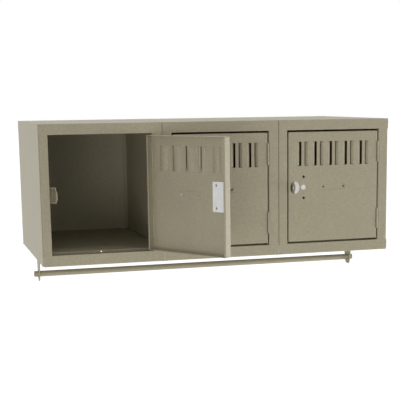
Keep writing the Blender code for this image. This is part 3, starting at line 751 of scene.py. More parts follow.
@dataclass
class Pan:
    """A shallow folded pan: a face, rounded folds, walls and perhaps lips.

    The outline is given at the walls. A point of a fold is the fold's centre,
    inset by the radius, plus radius times sin a outwards, and radius times
    one minus cos a deep, with a from nought to a quarter turn.

    Args:
        low: The pan's lowest corner, as across and up.
        high: Its highest corner.
        face: Where its face is on the axis across it.
        depth: How deep its walls are.
        radius: The radius of its folds.
        lip: The width of the lips on its upright walls, or zero for none.
        stops: Heights where cuts in the right-hand wall start and end.
        notch_depth: How deep those cuts are.
        sign: The way its walls run along the axis, one or minus one.
        steps: How many chords each fold has.
    """

    low: tuple[float, float]
    high: tuple[float, float]
    face: float
    depth: float
    radius: float
    lip: float = 0.0
    stops: tuple[float, ...] = ()
    notch_depth: float = 0.0
    sign: float = 1.0
    steps: int = ARC_STEPS

    def perimeter(self) -> tuple[np.ndarray, np.ndarray]:
        """Return fold centres and outward directions round the pan.

        Each corner has a quarter turn of directions about one centre, and the
        right-hand wall has extra points at the stops.

        Returns:
            The centres and the directions, one row each.
        """
        left, low = np.array(self.low) + self.radius
        right, high = np.array(self.high) - self.radius
        corners = [(right, low), (right, high), (left, high), (left, low)]
        centres, outs = [], []
        for index, corner in enumerate(corners):
            start = QUARTER * (index - 1)
            angles = np.linspace(start, start + QUARTER, self.steps + 1)
            outs.append(np.stack([np.cos(angles), np.sin(angles)], 1))
            centres.append(np.tile(corner, (self.steps + 1, 1)))
            if index == 0 and self.stops:
                extra = np.array([(right, stop) for stop in self.stops])
                centres.append(extra)
                outs.append(np.tile((1.0, 0.0), (len(extra), 1)))
        centres.append(centres[0][:1])
        outs.append(outs[0][:1])
        return np.concatenate(centres), np.concatenate(outs)

    def outline(self) -> np.ndarray:
        """Return the face's outline: the fold centres, each once."""
        centres = self.perimeter()[0]
        step = np.linalg.norm(np.diff(centres, axis=0), axis=1)
        return centres[:-1][step > NO_LENGTH]

    def walls(self, sheet: Sheet, lie: Lie) -> None:
        """Add the folds, walls and lips to a surface.

        Args:
            sheet: The surface.
            lie: How the pan's face lies in the row.
        """
        centres, outs = self.perimeter()
        turn = np.linspace(0.0, QUARTER, self.steps + 1)
        offset = self.radius * np.sin(turn)
        deep = self.radius * (1 - np.cos(turn))
        end = self.depth - (self.radius if self.lip else 0.0)
        rows = [end]
        if self.notch_depth:
            rows = [self.notch_depth, end]
        offset = np.append(offset, np.full(len(rows), self.radius))
        deep = np.append(deep, rows)
        middle = (centres[:-1] + centres[1:]) / 2
        outs_middle = (outs[:-1] + outs[1:]) / 2
        keep = np.ones((len(centres) - 1, len(offset) - 1), bool)
        if self.notch_depth:
            on_right = outs_middle[:, 0] > LEVEL_SHARE
            for low, high in zip(self.stops[::2], self.stops[1::2]):
                rows_out = on_right & (middle[:, 1] > low) & (middle[:, 1] < high)
                keep[np.ix_(rows_out, deep[:-1] < self.notch_depth - NO_LENGTH)] = False
        self.band(sheet, lie, centres, outs, offset, deep, keep)
        if self.lip:
            upright = np.abs(outs_middle[:, 0]) > LEVEL_SHARE
            straight = np.array([end, self.depth])
            same = np.full(2, self.radius)
            self.band(sheet, lie, centres, outs, same, straight, ~upright[:, None])
            offset = np.append(self.radius * np.cos(turn), self.radius - self.lip)
            deep = np.append(end + self.radius * np.sin(turn), self.depth)
            stay = np.repeat(upright[:, None], len(offset) - 1, 1)
            self.band(sheet, lie, centres, outs, offset, deep, stay)

    def band(
        self,
        sheet: Sheet,
        lie: Lie,
        centres: np.ndarray,
        outs: np.ndarray,
        offset: np.ndarray,
        deep: np.ndarray,
        keep: np.ndarray,
    ) -> None:
        """Add a band of cells round the pan: centre plus offset outwards, that deep.

        Args:
            sheet: The surface.
            lie: How the pan's face lies in the row.
            centres: The fold centres.
            outs: The outward directions.
            offset: How far out each row of the band stands from its centre.
            deep: How deep each row is.
            keep: Which cells stay.
        """
        flat = centres[:, None] + outs[:, None] * offset[None, :, None]
        level = np.broadcast_to(self.face + self.sign * deep, flat.shape[:2])
        sheet.add_grid(lie.place(flat[..., 0], flat[..., 1], level), keep)


@dataclass
class Door:
    """One door: its pan, louvres and holes, shared by all three.

    Sizes run from the hinge axis, which is at zero across and at the face.
    """

    index: int
    gauge: float = 1.2 * MM
    fold: float = 2.4 * MM
    lip: float = 5.0 * MM
    hinge_inset: float = 27.2 * MM
    louvre_count: int = 5
    louvre_inset: float = 24.6 * MM
    louvre_low: float = 55.8 * MM
    louvre_head: float = 25.0 * MM
    strip_share: float = 0.203
    slot_share: float = 0.252
    blade_turn: float = math.radians(42.0)
    blade_radius: float = 4.0 * MM
    blade_share: float = 0.81
    blade_gap: float = 0.7 * MM
    lock_inset: float = 41.5 * MM
    lock_hole: float = 14.0 * MM
    screw_hole: float = 6.6 * MM
    cover_hole: float = 7.2 * MM
    screw_spacing: float = 54.6 * MM
    number_hole: float = 4.8 * MM
    number_spacing: float = 55.9 * MM
    number_plate: tuple[float, float] = (64.0 * MM, 17.0 * MM)
    number_press: float = 0.9 * MM
    oval: tuple[float, float] = (25.4 * MM, 32.5 * MM)
    oval_inset: float = 18.3 * MM

    @property
    def name(self) -> str:
        """Return the door's node name."""
        return f"door_{self.index + 1}"

    @property
    def body(self) -> str:
        """Return the name of the body that the door moves with."""
        return f"{self.name}_set"

    @property
    def turn(self) -> Matrix:
        """Return what brings the door from its hinge axis into the row."""
        joint = next(item for item in frame["joints"] if item["child"] == self.body)
        swing = -math.radians(min(joint["range_deg"]))
        return Matrix.Translation(joint["pos_m"]) @ Matrix.Rotation(swing, 4, "Z")

    def extents(self) -> tuple[np.ndarray, np.ndarray]:
        """Return the shut door's corners from the hinge axis, off door 3."""
        low, high = span(f"door_{UNIT_COUNT}")
        axis = np.array(frame["joints"][UNIT_COUNT - 1]["pos_m"])
        return low - axis, high - axis

    @property
    def pitch(self) -> float:
        """Return the louvres' pitch.

        It is the width between the insets over the louvre count less one
        plus one louvre's width, in pitches.
        """
        low, high = self.extents()
        spans = self.louvre_count - 1 + self.strip_share + 2 * self.slot_share
        return (high[0] - low[0] - 2 * self.louvre_inset) / spans

    def louvres(self) -> np.ndarray:
        """Return each louvre's middle, evenly pitched across the door."""
        low, high = self.extents()
        count = self.louvre_count
        return (low[0] + high[0]) / 2 + self.pitch * (np.arange(count) - (count - 1) / 2)

    def slots(self, sheet: Sheet) -> list[np.ndarray]:
        """Add the louvre blades to a surface.

        A blade leaves the slot's outer side along an arc: radius sin a
        across and radius one minus cos a deep, then runs on straight.

        Args:
            sheet: The surface.

        Returns:
            The outlines of the slots.
        """
        _, high = self.extents()
        top = high[2] - self.louvre_head
        low = self.louvre_low
        outlines = []
        turn = np.linspace(0.0, self.blade_turn, ARC_STEPS + 1)
        for middle in self.louvres():
            half = self.pitch * self.strip_share / 2
            width = self.pitch * self.slot_share
            for side in (-1, 1):
                near = middle + side * half
                far = near + side * width
                reach = width * self.blade_share - self.blade_radius * self.blade_turn
                across = np.append(self.blade_radius * np.sin(turn), 0.0)
                deep = np.append(self.blade_radius * (1 - np.cos(turn)), 0.0)
                across[-1] = across[-2] + reach * math.cos(self.blade_turn)
                deep[-1] = deep[-2] + reach * math.sin(self.blade_turn)
                profile = np.stack([far - side * across, deep], 1)
                ends = (low + self.blade_gap, top - self.blade_gap)
                sheet.add_sweep(profile, Lie.PLAN, ends)
                inner = [(near, low), (far, low)]
                outer = [(far, end) for end in ends]
                outlines.append(np.array([*inner, *outer, (far, top), (near, top)]))
        return outlines

    def surface(self) -> Sheet:
        """Work out the shut door's outer surface: pan, blades, holes and panel.

        Returns:
            The surface, about the hinge axis.
        """
        low, high = self.extents()
        middle = (low[0] + high[0]) / 2
        lock = low[0] + self.lock_inset
        centres = (
            low[2] + self.hinge_inset + BARREL_CUT.height / 2,
            high[2] - self.hinge_inset - BARREL_CUT.height / 2,
        )
        stops = tuple(end for centre in centres for end in BARREL_CUT.ends(centre))
        pan = Pan(
            (low[0], low[2]),
            (high[0], high[2]),
            face=0.0,
            depth=high[1],
            radius=self.fold,
            lip=self.lip,
            stops=stops,
            notch_depth=BARREL_CUT.depth,
        )
        sheet = Sheet()
        pan.walls(sheet, Lie.FRONT)
        holes = self.slots(sheet)
        holes.append(circle(lock, 0.0, self.lock_hole, self.lock_hole, count=32))
        for side in (-1, 1):
            screw = side * self.screw_spacing / 2
            number = middle + side * self.number_spacing / 2
            holes.append(circle(lock, screw, self.screw_hole, self.screw_hole, count=20))
            holes.append(circle(number, 0.0, self.number_hole, self.number_hole, count=16))
        holes.append(circle(low[0] + self.oval_inset, 0.0, *self.oval, count=48))
        wide, tall = np.array(self.number_plate) / 2
        slope = self.number_press / 2
        rim = rectangle(middle - wide, -tall, middle + wide, tall)
        floor = rectangle(
            middle - wide + slope, -tall + slope, middle + wide - slope, tall - slope
        )
        pressed = [(rim, floor, self.number_press)]
        sheet.add_plate(pan.outline(), holes, Lie.FRONT, 0.0, pressed)
        return sheet

    def build(self) -> None:
        """Show the door's pan and its lock cover."""
        piece = Piece(
            f"{self.name}_pan",
            self.body,
            TAN_ENAMEL,
            stands_for=(self.name,),
            gauge=self.gauge,
            outward=tuple(self.turn.to_3x3() @ Vector((0.0, -1.0, 0.0))),
        )
        piece.show(self.surface().turned(self.turn))
        LockCover(self).build()


@dataclass
class LockCover:
    """The stamped plate behind a door's lock hole."""

    door: Door
    gauge: float = 1.2 * MM
    inset: float = 16.8 * MM
    width: float = 35.3 * MM
    height: float = 72.0 * MM
    tab_inset: float = 13.7 * MM
    tab_height: float = 26.0 * MM
    corner: float = 2.5 * MM
    tab_corner: float = 0.4 * MM
    seam: float = 0.3 * MM

    def build(self) -> None:
        """Show the plate with its tab, rounded corners and screw holes."""
        door = self.door
        latch = door.extents()[0][0]
        left = latch + self.inset
        right = left + self.width
        tab = latch + self.tab_inset
        half = self.height / 2
        step = self.tab_height / 2
        path = [
            (left, step),
            (left, half),
            (right, half),
            (right, -half),
            (left, -half),
            (left, -step),
            (tab, -step),
            (tab, step),
            (left, step),
        ]
        small = self.tab_corner
        radii = (small, self.corner, self.corner, small, small, small, small)
        outline = rounded_path(path, radii)[:-1]
        lock = latch + door.lock_inset
        wide = door.cover_hole
        holes = [
            circle(lock, side * door.screw_spacing / 2, wide, wide, count=20)
            for side in (-1, 1)
        ]
        sheet = Sheet()
        sheet.add_plate(outline, holes, Lie.FRONT, door.gauge + self.seam)
        name = f"lock_cover_{door.index + 1}"
        outward = tuple(door.turn.to_3x3() @ Vector((0.0, -1.0, 0.0)))
        piece = Piece(f"{name}_plate", door.body, ZINC_PLATE, (name,), self.gauge, outward)
        piece.show(sheet.turned(door.turn))


@dataclass
class UprightSheet:
    """An upright body sheet: its web and the flanges folded off three edges.

    Args:
        name: The sheet's node.
        inward: The way its flanges turn across the row, one or minus one.
        finish: Its finish.
        foot: The width of its foot flange.
    """

    name: str
    inward: int
    finish: Finish
    foot: float
    gauge: float = 0.9 * MM
    fold: float = 2.2 * MM
    front: float = 15.0 * MM
    rear: float = 11.4 * MM
    foot_start: float = 28.0 * MM
    foot_end: float = 3.9 * MM
    rear_stop: float = 15.0 * MM
    seam: float = 0.3 * MM

    def build(self) -> None:
        """Show the sheet: a flat web, set back where a fold leaves it."""
        low, high = span(self.name)
        outer = low[0] if self.inward > 0 else high[0]
        fold, way = self.fold, self.inward
        front, rear, bottom, top = low[1], high[1], low[2], high[2]
        mouth = (span("rail_bottom_1")[1][2] + self.seam, span("rail_top_1")[0][2] - self.seam)
        foot = (span("rail_top_1")[0][1] + self.foot_start, rear - self.foot_end)
        stop = top - self.rear_stop
        web = [
            (front, bottom),
            (foot[0], bottom),
            (foot[0], bottom + fold),
            (foot[1], bottom + fold),
            (foot[1], bottom),
            (rear - fold, bottom),
            (rear - fold, stop),
            (rear, stop),
            (rear, top),
            (front, top),
            (front, mouth[1]),
            (front + fold, mouth[1]),
            (front + fold, mouth[0]),
            (front, mouth[0]),
        ]
        sheet = Sheet()
        sheet.add_plate(np.array(web), [], Lie.SIDE, outer)
        path = [(outer + way * self.front, front), (outer, front), (outer, front + 2 * fold)]
        sheet.add_sweep(rounded_path(path, fold)[:-1], Lie.PLAN, mouth)
        path = [(outer, rear - 2 * fold), (outer, rear), (outer + way * self.rear, rear)]
        sheet.add_sweep(rounded_path(path, fold)[1:], Lie.PLAN, (bottom, stop))
        path = [(outer, bottom + 2 * fold), (outer, bottom), (outer + way * self.foot, bottom)]
        sheet.add_sweep(rounded_path(path, fold)[1:], Lie.FRONT, foot)
        outward = (-way, 0, 0)
        piece = Piece(
            f"{self.name}_folded", "locker_row", self.finish, (self.name,), self.gauge, outward
        )
        piece.show(sheet)


@dataclass
class TopPan:
    """A unit's top: a pan turned down between the upright sheets."""

    index: int
    gauge: float = 0.9 * MM
    fold: float = 2.0 * MM

    def build(self) -> None:
        """Show the pan with its rounded folds."""
        name = f"top_{self.index + 1}"
        low, high = span(name)
        pan = Pan(
            (low[0], low[1]),
            (high[0], high[1]),
            face=high[2],
            depth=high[2] - low[2],
            radius=self.fold,
            sign=-1.0,
        )
        sheet = Sheet()
        pan.walls(sheet, Lie.PLAN)
        sheet.add_plate(pan.outline(), [], Lie.PLAN, high[2])
        piece = Piece(f"{name}_folded", "locker_row", TAN_ENAMEL, (name,), self.gauge, (0, 0, 1))
        piece.show(sheet)


@dataclass
class FrontFrame:
    """One unit's front frame: rails and uprights welded into one face."""

    index: int
    gauge: float = 1.5 * MM
    fold: float = 2.2 * MM
    corner: float = 6.0 * MM
    rim: float = 0.7 * MM
    draw_in: float = 0.5 * MM
    kinds: tuple[str, ...] = ("rail_top", "rail_bottom", "jamb_left", "jamb_right")

    def span(self, kind: str) -> tuple[np.ndarray, np.ndarray]:
        """Return the lowest and highest corner of one of the frame's nodes."""
        return span(f"{kind}_{self.index + 1}")

    def build(self) -> None:
        """Show the face with the legs folded back round its opening and foot."""
        sheet = Sheet()
        self.add_face(sheet)
        self.add_returns(sheet)
        self.add_legs(sheet)
        solids = tuple(f"{kind}_{self.index + 1}" for kind in self.kinds)
        piece = Piece(
            f"front_frame_{self.index + 1}",
            "locker_row",
            TAN_ENAMEL,
            stands_for=solids,
            gauge=self.gauge,
            outward=(0, -1, 0),
            rim=self.rim,
        )
        piece.show(sheet)

    def opening(self) -> tuple[float, float, float, float]:
        """Return the opening's left, low, right and high edges."""
        left = self.span("jamb_left")[1][0]
        right = self.span("jamb_right")[0][0]
        low = self.span("rail_bottom")[1][2]
        high = self.span("rail_top")[0][2]
        return left, low, right, high

    def foot(self) -> tuple[float, float]:
        """Return how far the foot's leg runs, clear of the rounded corners."""
        low, high = span(f"top_{self.index + 1}")
        return low[0] + self.corner, high[0] - self.corner

    def cuts(self) -> list[float]:
        """Return the heights at which the hinge side is cut for the barrels."""
        heights = []
        for level in ("lower", "upper"):
            low, high = span(f"hinge_frame_leaf_{level}_{self.index + 1}")
            heights += BARREL_CUT.ends((low[2] + high[2]) / 2)
        return heights

    def rounding(self, across: float, up: float, start: int, round_it: bool) -> np.ndarray:
        """Work out an outer corner: a quarter arc, or the corner itself.

        The arc is centre + radius (cos a, sin a) over one quarter turn.

        Args:
            across: The corner's place across.
            up: Its height.
            start: The quarter turns at which the arc starts.
            round_it: Whether it is rounded.

        Returns:
            The corner's points, one row each.
        """
        if not round_it:
            return np.array([(across, up)])
        angles = np.linspace(start * QUARTER, (start + 1) * QUARTER, ARC_STEPS + 1)
        halfway = angles[ARC_STEPS // 2]
        inward = (-np.sign(np.cos(halfway)), -np.sign(np.sin(halfway)))
        centre = np.array((across, up)) + self.corner * np.array(inward)
        return centre + self.corner * np.stack([np.cos(angles), np.sin(angles)], 1)

    def add_face(self, sheet: Sheet) -> None:
        """Add the flat face: its outline steps in beside the row's end sheets.

        Args:
            sheet: The surface.
        """
        bottom, top = self.span("rail_bottom")[0], self.span("rail_top")[1]
        left, right = self.span("rail_top")[0][0], top[0]
        inner_left, inner_right = self.span("jamb_left")[0][0], self.span("jamb_right")[1][0]
        opening_left, low, opening_right, high = self.opening()
        first, last = self.index == 0, self.index == UNIT_COUNT - 1
        left += 0.0 if first else self.draw_in
        right -= 0.0 if last else self.draw_in
        foot = self.foot()
        rows = [
            self.rounding(left, bottom[2], 2, first),
            [(foot[0], bottom[2]), (foot[0], bottom[2] + self.fold)],
            [(foot[1], bottom[2] + self.fold), (foot[1], bottom[2])],
            self.rounding(right, bottom[2], 3, last),
        ]
        if last:
            rows.append([(right, low), (inner_right, low), (inner_right, high), (right, high)])
        rows.append(self.rounding(right, top[2], 0, last))
        rows.append(self.rounding(left, top[2], 1, first))
        if first:
            rows.append([(left, high), (inner_left, high), (inner_left, low), (left, low)])
        outer = np.concatenate([np.array(row) for row in rows])
        fold = self.fold
        hole = np.array(
            [
                (opening_left - fold, low),
                (opening_right + fold, low),
                *[(opening_right + fold, cut) for cut in self.cuts()],
                (opening_right + fold, high),
                (opening_right, high),
                (opening_right, high + fold),
                (opening_left, high + fold),
                (opening_left, high),
                (opening_left - fold, high),
            ]
        )
        sheet.add_plate(outer, [hole], Lie.FRONT, bottom[1])

    def add_returns(self, sheet: Sheet) -> None:
        """Add the uprights' returns, cut out where the barrels stand.

        Args:
            sheet: The surface.
        """
        left, low, right, high = self.opening()
        start, end = self.span("jamb_left")[0][1], self.span("jamb_left")[1][1]
        path = [(left - 2 * self.fold, start), (left, start), (left, end)]
        sheet.add_sweep(rounded_path(path, self.fold)[1:], Lie.PLAN, (low, high))
        path = [(right + 2 * self.fold, start), (right, start), (right, end)]
        profile = rounded_path(path, self.fold)[1:]
        stop = (right, start + BARREL_CUT.depth)
        profile = np.insert(profile, len(profile) - 1, stop, axis=0)
        stations = (low, *self.cuts(), high)
        keep = np.ones((len(profile) - 1, len(stations) - 1), bool)
        keep[:-1, 1::2] = False
        sheet.add_sweep(profile, Lie.PLAN, stations, keep)

    def add_legs(self, sheet: Sheet) -> None:
        """Add the legs turned back over the opening and at the foot.

        Args:
            sheet: The surface.
        """
        left, _, right, high = self.opening()
        face = self.span("rail_top")[0][1]
        end = self.span("rail_top")[1][1]
        path = [(face, high + 2 * self.fold), (face, high), (end, high)]
        sheet.add_sweep(rounded_path(path, self.fold)[1:], Lie.SIDE, (left, right))
        foot = self.span("rail_bottom")[0][2]
        end = self.span("rail_bottom")[1][1]
        path = [(face, foot + 2 * self.fold), (face, foot), (end, foot)]
        sheet.add_sweep(rounded_path(path, self.fold)[1:], Lie.SIDE, self.foot())


@dataclass
class Strike:
    """The folded strike whose nose comes through the door's oval hole."""

    index: int
    gauge: float = 2.0 * MM
    fold: float = 1.2 * MM
    nose_height: float = 24.0 * MM
    nose_radius: float = 11.0 * MM
    nose_steps: int = 10
    eye: float = 9.1 * MM
    eye_reach: float = 7.1 * MM
    shoulder_depth: float = 4.2 * MM
    shoulder_radius: float = 0.8 * MM
    leg_reach: float = 17.0 * MM
    arm: float = 3.4 * MM
    press: float = 2.5 * MM
    press_inset: float = 0.4 * MM
    press_slope: float = 1.4 * MM

    def build(self) -> None:
        """Show the leg, the pressed web and the nose with its padlock eye."""
        name = f"strike_{self.index + 1}"
        low, high = span(name)
        nose = high[0] - self.gauge
        leg = low[0] + self.gauge
        web = high[1] - self.gauge
        front = span(f"rail_top_{self.index + 1}")[0][1]
        half = self.nose_height / 2
        sheet = Sheet()
        left = leg + 2 * self.fold
        right = nose - self.fold
        path = [(leg, high[1] - self.leg_reach), (leg, web), (left, web)]
        sheet.add_sweep(rounded_path(path, self.fold), Lie.PLAN, (low[2], high[2]))
        outer = rectangle(left, low[2], right, high[2])
        arm, inset, slope = self.arm, self.press_inset, self.press_slope
        rim = rectangle(left + inset, low[2] + arm, right - inset, high[2] - arm)
        floor = rectangle(
            left + slope, low[2] + arm + slope, right - slope, high[2] - arm - slope
        )
        sheet.add_plate(outer, [], Lie.FRONT, web, [(rim, floor, self.press)])
        path = [(right, web), (nose, web), (nose, web - self.fold)]
        bend = rounded_path(path, self.fold)[:-1]
        sheet.add_sweep(bend, Lie.PLAN, (low[2], high[2]))
        tip = low[1]
        root = web - self.fold
        shoulder = front + self.shoulder_depth
        path = [
            (root, high[2]),
            (shoulder, high[2]),
            (shoulder, half),
            (tip, half),
            (tip, -half),
            (shoulder, -half),
            (shoulder, low[2]),
            (root, low[2]),
        ]
        small = self.shoulder_radius
        radii = (small, small, self.nose_radius, self.nose_radius, small, small)
        shape = rounded_path(path, radii, self.nose_steps)
        hole = circle(front - self.eye_reach, 0.0, self.eye, self.eye, count=32)
        sheet.add_plate(shape, [hole], Lie.SIDE, nose)
        piece = Piece(f"{name}_folded", "locker_row", TAN_ENAMEL, (name,), self.gauge, (1, 0, 0))
        piece.show(sheet)


def turned_ring(
    profile: np.ndarray, lie: Lie, centre: tuple[float, float], count: int
) -> np.ndarray:
    """Turn a profile of radius and place along an axis into a grid.

    The point at turn a is centre + radius (cos a, sin a), at its place along
    the axis that the lie leaves free.

    Args:
        profile: The profile's points, as radius and place along.
        lie: How the circles lie in the row.
        centre: The axis, as across and up.
        count: How many chords a full turn has.

    Returns:
        The grid of points.
    """
    turn = np.linspace(0.0, 2 * math.pi, count + 1)[None, :]
    radius, along = profile[:, :1], profile[:, 1:2]
    across = centre[0] + radius * np.cos(turn)
    up = centre[1] + radius * np.sin(turn)
    return lie.place(across, up, along + 0 * turn)


@dataclass
class CoatRod:
    """The rod under the row, its two brackets and their rivets."""

    wall: float = 1.4 * MM
    bore_depth: float = 30.0 * MM
    chamfer: float = 0.5 * MM
    gauge: float = 2.5 * MM
    fold: float = 3.0 * MM
    hole_side: float = 16.7 * MM
    hole_rise: float = 0.14 * MM
    top_width: float = 73.0 * MM
    neck_width: float = 53.3 * MM
    fillet: float = 9.0 * MM
    shoulder_steps: int = 8
    tip_width: float = 28.0 * MM
    tip_flat: float = 16.0 * MM
    tip_chamfer: float = 6.0 * MM
    rivet_rise: float = 2.4 * MM
    rivet_shank: float = 2.4 * MM
    rivet_steps: int = 7

    def build(self) -> None:
        """Show the rod, the brackets and the rivets."""
        self.build_tube()
        self.build_bracket("rod_bracket_left", 1.0)
        self.build_bracket("rod_bracket_right", -1.0)
        for side in ("left", "right"):
            for place in ("front", "rear"):
                self.build_rivet(f"rivet_{side}_{place}")

    def build_tube(self) -> None:
        """Show the rod as a tube, bored at its ends and chamfered on its rims."""
        low, high = span("coat_rod")
        outer = (high[2] - low[2]) / 2
        centre = ((low[1] + high[1]) / 2, (low[2] + high[2]) / 2)
        inner = outer - self.wall
        rim = self.chamfer
        end = [
            (0.0, low[0] + self.bore_depth),
            (inner, low[0] + self.bore_depth),
            (inner, low[0] + rim),
            (inner + rim, low[0]),
            (outer - rim, low[0]),
            (outer, low[0] + rim),
        ]
        profile = np.array(end + [(r, -a) for r, a in reversed(end)])
        sheet = Sheet()
        sheet.add_grid(turned_ring(profile, Lie.SIDE, centre, count=48))
        piece = Piece("coat_rod_tube", "rod", TAN_ENAMEL, ("coat_rod",), rim=0.0)
        piece.show(sheet)

    def build_bracket(self, name: str, side: float) -> None:
        """Show a bracket: a shaped plate with a square hole set on its corner.

        The shoulders pull in from the top width to the neck on a quarter
        ellipse and the sides run straight from there to the tip.

        Args:
            name: The bracket's node.
            side: The way its leg turns across the row, one or minus one.
        """
        low, high = span(name)
        rod_low, rod_high = span("coat_rod")
        middle = (rod_low[1] + rod_high[1]) / 2
        axis = (rod_low[2] + rod_high[2]) / 2
        top = high[2] - self.fold
        tip = low[2]
        turn = np.linspace(0.0, QUARTER, self.shoulder_steps + 1)
        pull = (self.top_width - self.neck_width) / 2
        drop = self.fillet - self.fold
        shoulder = np.stack(
            [self.top_width / 2 - pull * np.sin(turn), top - drop * (1 - np.cos(turn))], 1
        )
        toe = [(self.tip_width / 2, tip + self.tip_chamfer), (self.tip_flat / 2, tip)]
        right = np.concatenate([shoulder, toe]) + (middle, 0.0)
        left = right[::-1] * (-1, 1) + (2 * middle, 0.0)
        outline = np.concatenate([right, left])
        half = self.hole_side / math.sqrt(2)
        centre = axis + self.hole_rise
        hole = np.array([
            (middle, centre - half),
            (middle + half, centre),
            (middle, centre + half),
            (middle - half, centre),
        ])
        outer = low[0] if side > 0 else high[0]
        sheet = Sheet()
        sheet.add_plate(outline, [hole], Lie.SIDE, outer)
        leg_end = high[0] if side > 0 else low[0]
        path = [(outer, top), (outer, high[2]), (leg_end, high[2])]
        profile = rounded_path(path, self.fold)
        leg = (middle - self.top_width / 2, middle + self.top_width / 2)
        sheet.add_sweep(profile, Lie.FRONT, leg)
        piece = Piece(
            f"{name}_folded", "locker_row", TAN_ENAMEL, (name,), self.gauge, (-side, 0, 0)
        )
        piece.show(sheet)

    def build_rivet(self, name: str) -> None:
        """Show a rivet: two domed heads on a shank, turned about its axis.

        A dome is half its head's width times sin a, at rise times cos a.

        Args:
            name: The rivet's node.
        """
        low, high = span(name)
        centre = ((low[0] + high[0]) / 2, (low[1] + high[1]) / 2)
        head = (high[0] - low[0]) / 2
        rise, shank = self.rivet_rise, self.rivet_shank
        turn = np.linspace(0.0, QUARTER, self.rivet_steps + 1)
        upper = np.stack([head * np.sin(turn), high[2] - rise + rise * np.cos(turn)], 1)
        lower = np.stack([head * np.sin(turn), low[2] + rise - rise * np.cos(turn)], 1)[::-1]
        neck = np.array([(shank, high[2] - rise), (shank, low[2] + rise)])
        profile = np.concatenate([upper, neck, lower])
        sheet = Sheet()
        sheet.add_grid(turned_ring(profile, Lie.PLAN, centre, count=32))
        piece = Piece(f"{name}_turned", "locker_row", ZINC_PLATE, (name,), rim=0.0)
        piece.show(sheet)


@dataclass
class Body:
    """The solids shown as they are: the floors, the backs, the hinges and their pins."""

    inside: tuple[str, ...] = ("floor",)
    steel: tuple[str, ...] = ("hinge_pin",)

    def build(self) -> None:
        """Dress every solid that nothing stands for."""
        for name, node in sorted(frame["nodes"].items()):
            if node.hide_render:
                continue
            finish = TAN_ENAMEL
            if name.startswith(self.inside):
                finish = INSIDE_ENAMEL
            if name.startswith(self.steel):
                finish = DRAWN_STEEL
            dress(node, finish)
            LOG.info("%s: dressed as %s", name, finish.name)


@dataclass
class Photographer:
    """The camera, where the photograph was taken from.

    Args:
        place: Where it stands.
        yaw: How far it is turned to the right.
        pitch: How far it looks up.
        roll: How far it is tipped.
        focal_pixels: Its focal length, in pixels of the photograph.
        centre: The pixel of the photograph where its axis meets the picture.
        image: The photograph's width in pixels.
        sensor: The sensor's width, in Blender's own millimetres.
    """

    place: tuple[float, float, float] = (-0.75946, -3.05215, 0.23038)
    yaw: float = math.radians(16.6852)
    pitch: float = math.radians(-10.1125)
    roll: float = math.radians(-0.6012)
    focal_pixels: float = 1066.36
    centre: tuple[float, float] = (230.0, 288.0)
    image: float = 400.0
    sensor: float = 36.0

    def build(self) -> None:
        """Set up the camera from the fitted angles and its shifted centre."""
        data = bpy.data.cameras.new("photograph_view")
        data.sensor_width = self.sensor
        data.lens = self.focal_pixels * self.sensor / self.image
        data.shift_x = (self.image / 2 - self.centre[0]) / self.image
        data.shift_y = (self.centre[1] - self.image / 2) / self.image
        made = bpy.data.objects.new("photograph_view", data)
        level = Vector((math.cos(self.yaw), -math.sin(self.yaw), 0.0))
        ahead = Vector((
            math.sin(self.yaw) * math.cos(self.pitch),
            math.cos(self.yaw) * math.cos(self.pitch),
            math.sin(self.pitch),
        ))
        rise = level.cross(ahead)
        right = math.cos(self.roll) * level + math.sin(self.roll) * rise
        up = -math.sin(self.roll) * level + math.cos(self.roll) * rise
        turn = Matrix((right, up, -ahead)).transposed().to_4x4()
        made.matrix_world = Matrix.Translation(self.place) @ turn
        bpy.context.scene.collection.objects.link(made)
        bpy.context.scene.camera = made
        LOG.info("camera at %s with lens %.1f mm", self.place, data.lens)


@dataclass
class Lamp:
    """One soft area light that looks at a point.

    Args:
        name: The light's name.
        place: Where it stands.
        aim: The point that it looks at.
        size: How wide it is.
        power: Its power in watts.
    """

    name: str
    place: tuple[float, float, float]
    aim: tuple[float, float, float]
    size: float
    power: float

    def build(self) -> None:
        """Add the light, hidden from the camera."""
        data = bpy.data.lights.new(self.name, "AREA")
        data.shape = "DISK"
        data.size = self.size
        data.energy = self.power
        made = bpy.data.objects.new(self.name, data)
        made.location = self.place
        away = Vector(self.place) - Vector(self.aim)
        made.rotation_euler = away.to_track_quat("Z", "Y").to_euler()
        bpy.context.scene.collection.objects.link(made)


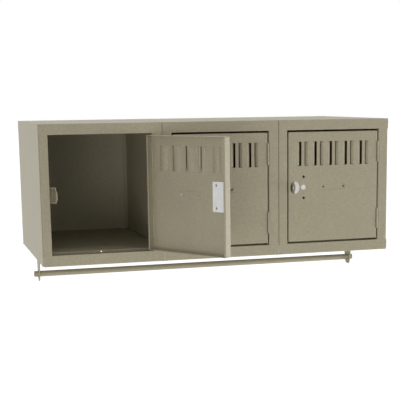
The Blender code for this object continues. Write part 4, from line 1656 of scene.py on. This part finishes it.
@dataclass
class Studio:
    """The pale floor, the surround and the lights."""

    floor_height: float = -1.5
    floor_half: float = 60.0
    floor_points: int = 5
    floor_colour: str = "#ececec"
    floor_glow: float = 0.78
    surround: float = 0.40
    lamps: tuple[Lamp, ...] = (
        Lamp("left light", (-3.1, 1.2, 0.6), (-0.4, -0.3, 0.0), 1.8, 20.0),
        Lamp("front light", (-2.2, -4.1, -1.0), (0.0, -0.4, 0.0), 2.2, 50.0),
        Lamp("right light", (3.3, -1.1, -0.7), (0.0, -0.6, 0.0), 1.8, 66.0),
        Lamp("top light", (0.2, -0.6, 3.2), (0.0, -0.3, 0.0), 2.0, 27.0),
    )

    def build(self) -> None:
        """Set up the world, the floor, the lights and the view."""
        self.build_surround()
        self.build_floor()
        for lamp in self.lamps:
            lamp.build()
        bpy.context.scene.view_settings.view_transform = "Standard"
        LOG.info("studio with %d lights", len(self.lamps))

    def seen(self, tree: bpy.types.NodeTree) -> bpy.types.NodeSocket:
        """Tell the rays that see a thing from those that light by it.

        Args:
            tree: The node tree.

        Returns:
            One for camera, glossy and transmission rays, else nought.
        """
        path = add_node(tree, "LightPath")
        total = path.outputs["Is Camera Ray"]
        for ray in ("Is Glossy Ray", "Is Transmission Ray"):
            links = {0: total, 1: path.outputs[ray]}
            total = add_node(tree, "Math", {"operation": "MAXIMUM"}, links=links).outputs[0]
        return total

    def build_surround(self) -> None:
        """Make the world white where it is seen and soft where it lights."""
        world = bpy.data.worlds.new("studio surround")
        bpy.context.scene.world = world
        world.use_nodes = True
        tree = world.node_tree
        tree.nodes.clear()
        white = linear("#ffffff")
        lit = add_node(tree, "Background", values={"Color": white, "Strength": self.surround})
        shown = add_node(tree, "Background", values={"Color": white, "Strength": 1.0})
        links = {0: self.seen(tree), 1: lit.outputs[0], 2: shown.outputs[0]}
        mix = add_node(tree, "MixShader", links=links)
        add_node(tree, "OutputWorld", links={"Surface": mix.outputs[0]})

    def build_floor(self) -> None:
        """Lay the floor well below the row, as it hangs on a wall."""
        half = self.floor_half
        grid = np.linspace(-half, half, self.floor_points)
        level = np.full((1, 1), self.floor_height)
        sheet = Sheet()
        sheet.add_grid(Lie.PLAN.place(grid[:, None], grid[None, :], level))
        made = bpy.data.objects.new("studio_floor", sheet.mesh("studio_floor", (0, 0, 1)))
        bpy.context.scene.collection.objects.link(made)
        made.data.materials.append(self.floor_material())

    def floor_material(self) -> bpy.types.Material:
        """Make matt white paint, lifted to white where it is seen.

        Returns:
            The material.
        """
        made = bpy.data.materials.new("matt white studio paint")
        made.use_nodes = True
        tree = made.node_tree
        tree.nodes.clear()
        paint = add_node(tree, "BsdfDiffuse", values={"Color": linear(self.floor_colour)})
        glow = add_node(tree, "Emission", values={"Strength": self.floor_glow})
        dark = add_node(tree, "Emission", values={"Strength": 0.0})
        links = {0: self.seen(tree), 1: dark.outputs[0], 2: glow.outputs[0]}
        lift = add_node(tree, "MixShader", links=links)
        both = add_node(tree, "AddShader", links={0: paint.outputs[0], 1: lift.outputs[0]})
        add_node(tree, "OutputMaterial", links={"Surface": both.outputs[0]})
        return made


def main() -> None:
    """Build the row's pieces in order, then the studio and the camera."""
    logging.basicConfig(level=logging.INFO, format="%(message)s")
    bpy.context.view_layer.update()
    UprightSheet("side_left", 1, TAN_ENAMEL, END_FOOT).build()
    UprightSheet("partition_left", -1, INSIDE_ENAMEL, PARTITION_FOOT).build()
    UprightSheet("partition_right", -1, INSIDE_ENAMEL, PARTITION_FOOT).build()
    UprightSheet("side_right", -1, TAN_ENAMEL, END_FOOT).build()
    for index in range(UNIT_COUNT):
        TopPan(index).build()
        FrontFrame(index).build()
        Strike(index).build()
        Door(index).build()
    CoatRod().build()
    Body().build()
    Studio().build()
    Photographer().build()


if __name__ == "__main__":
    main()
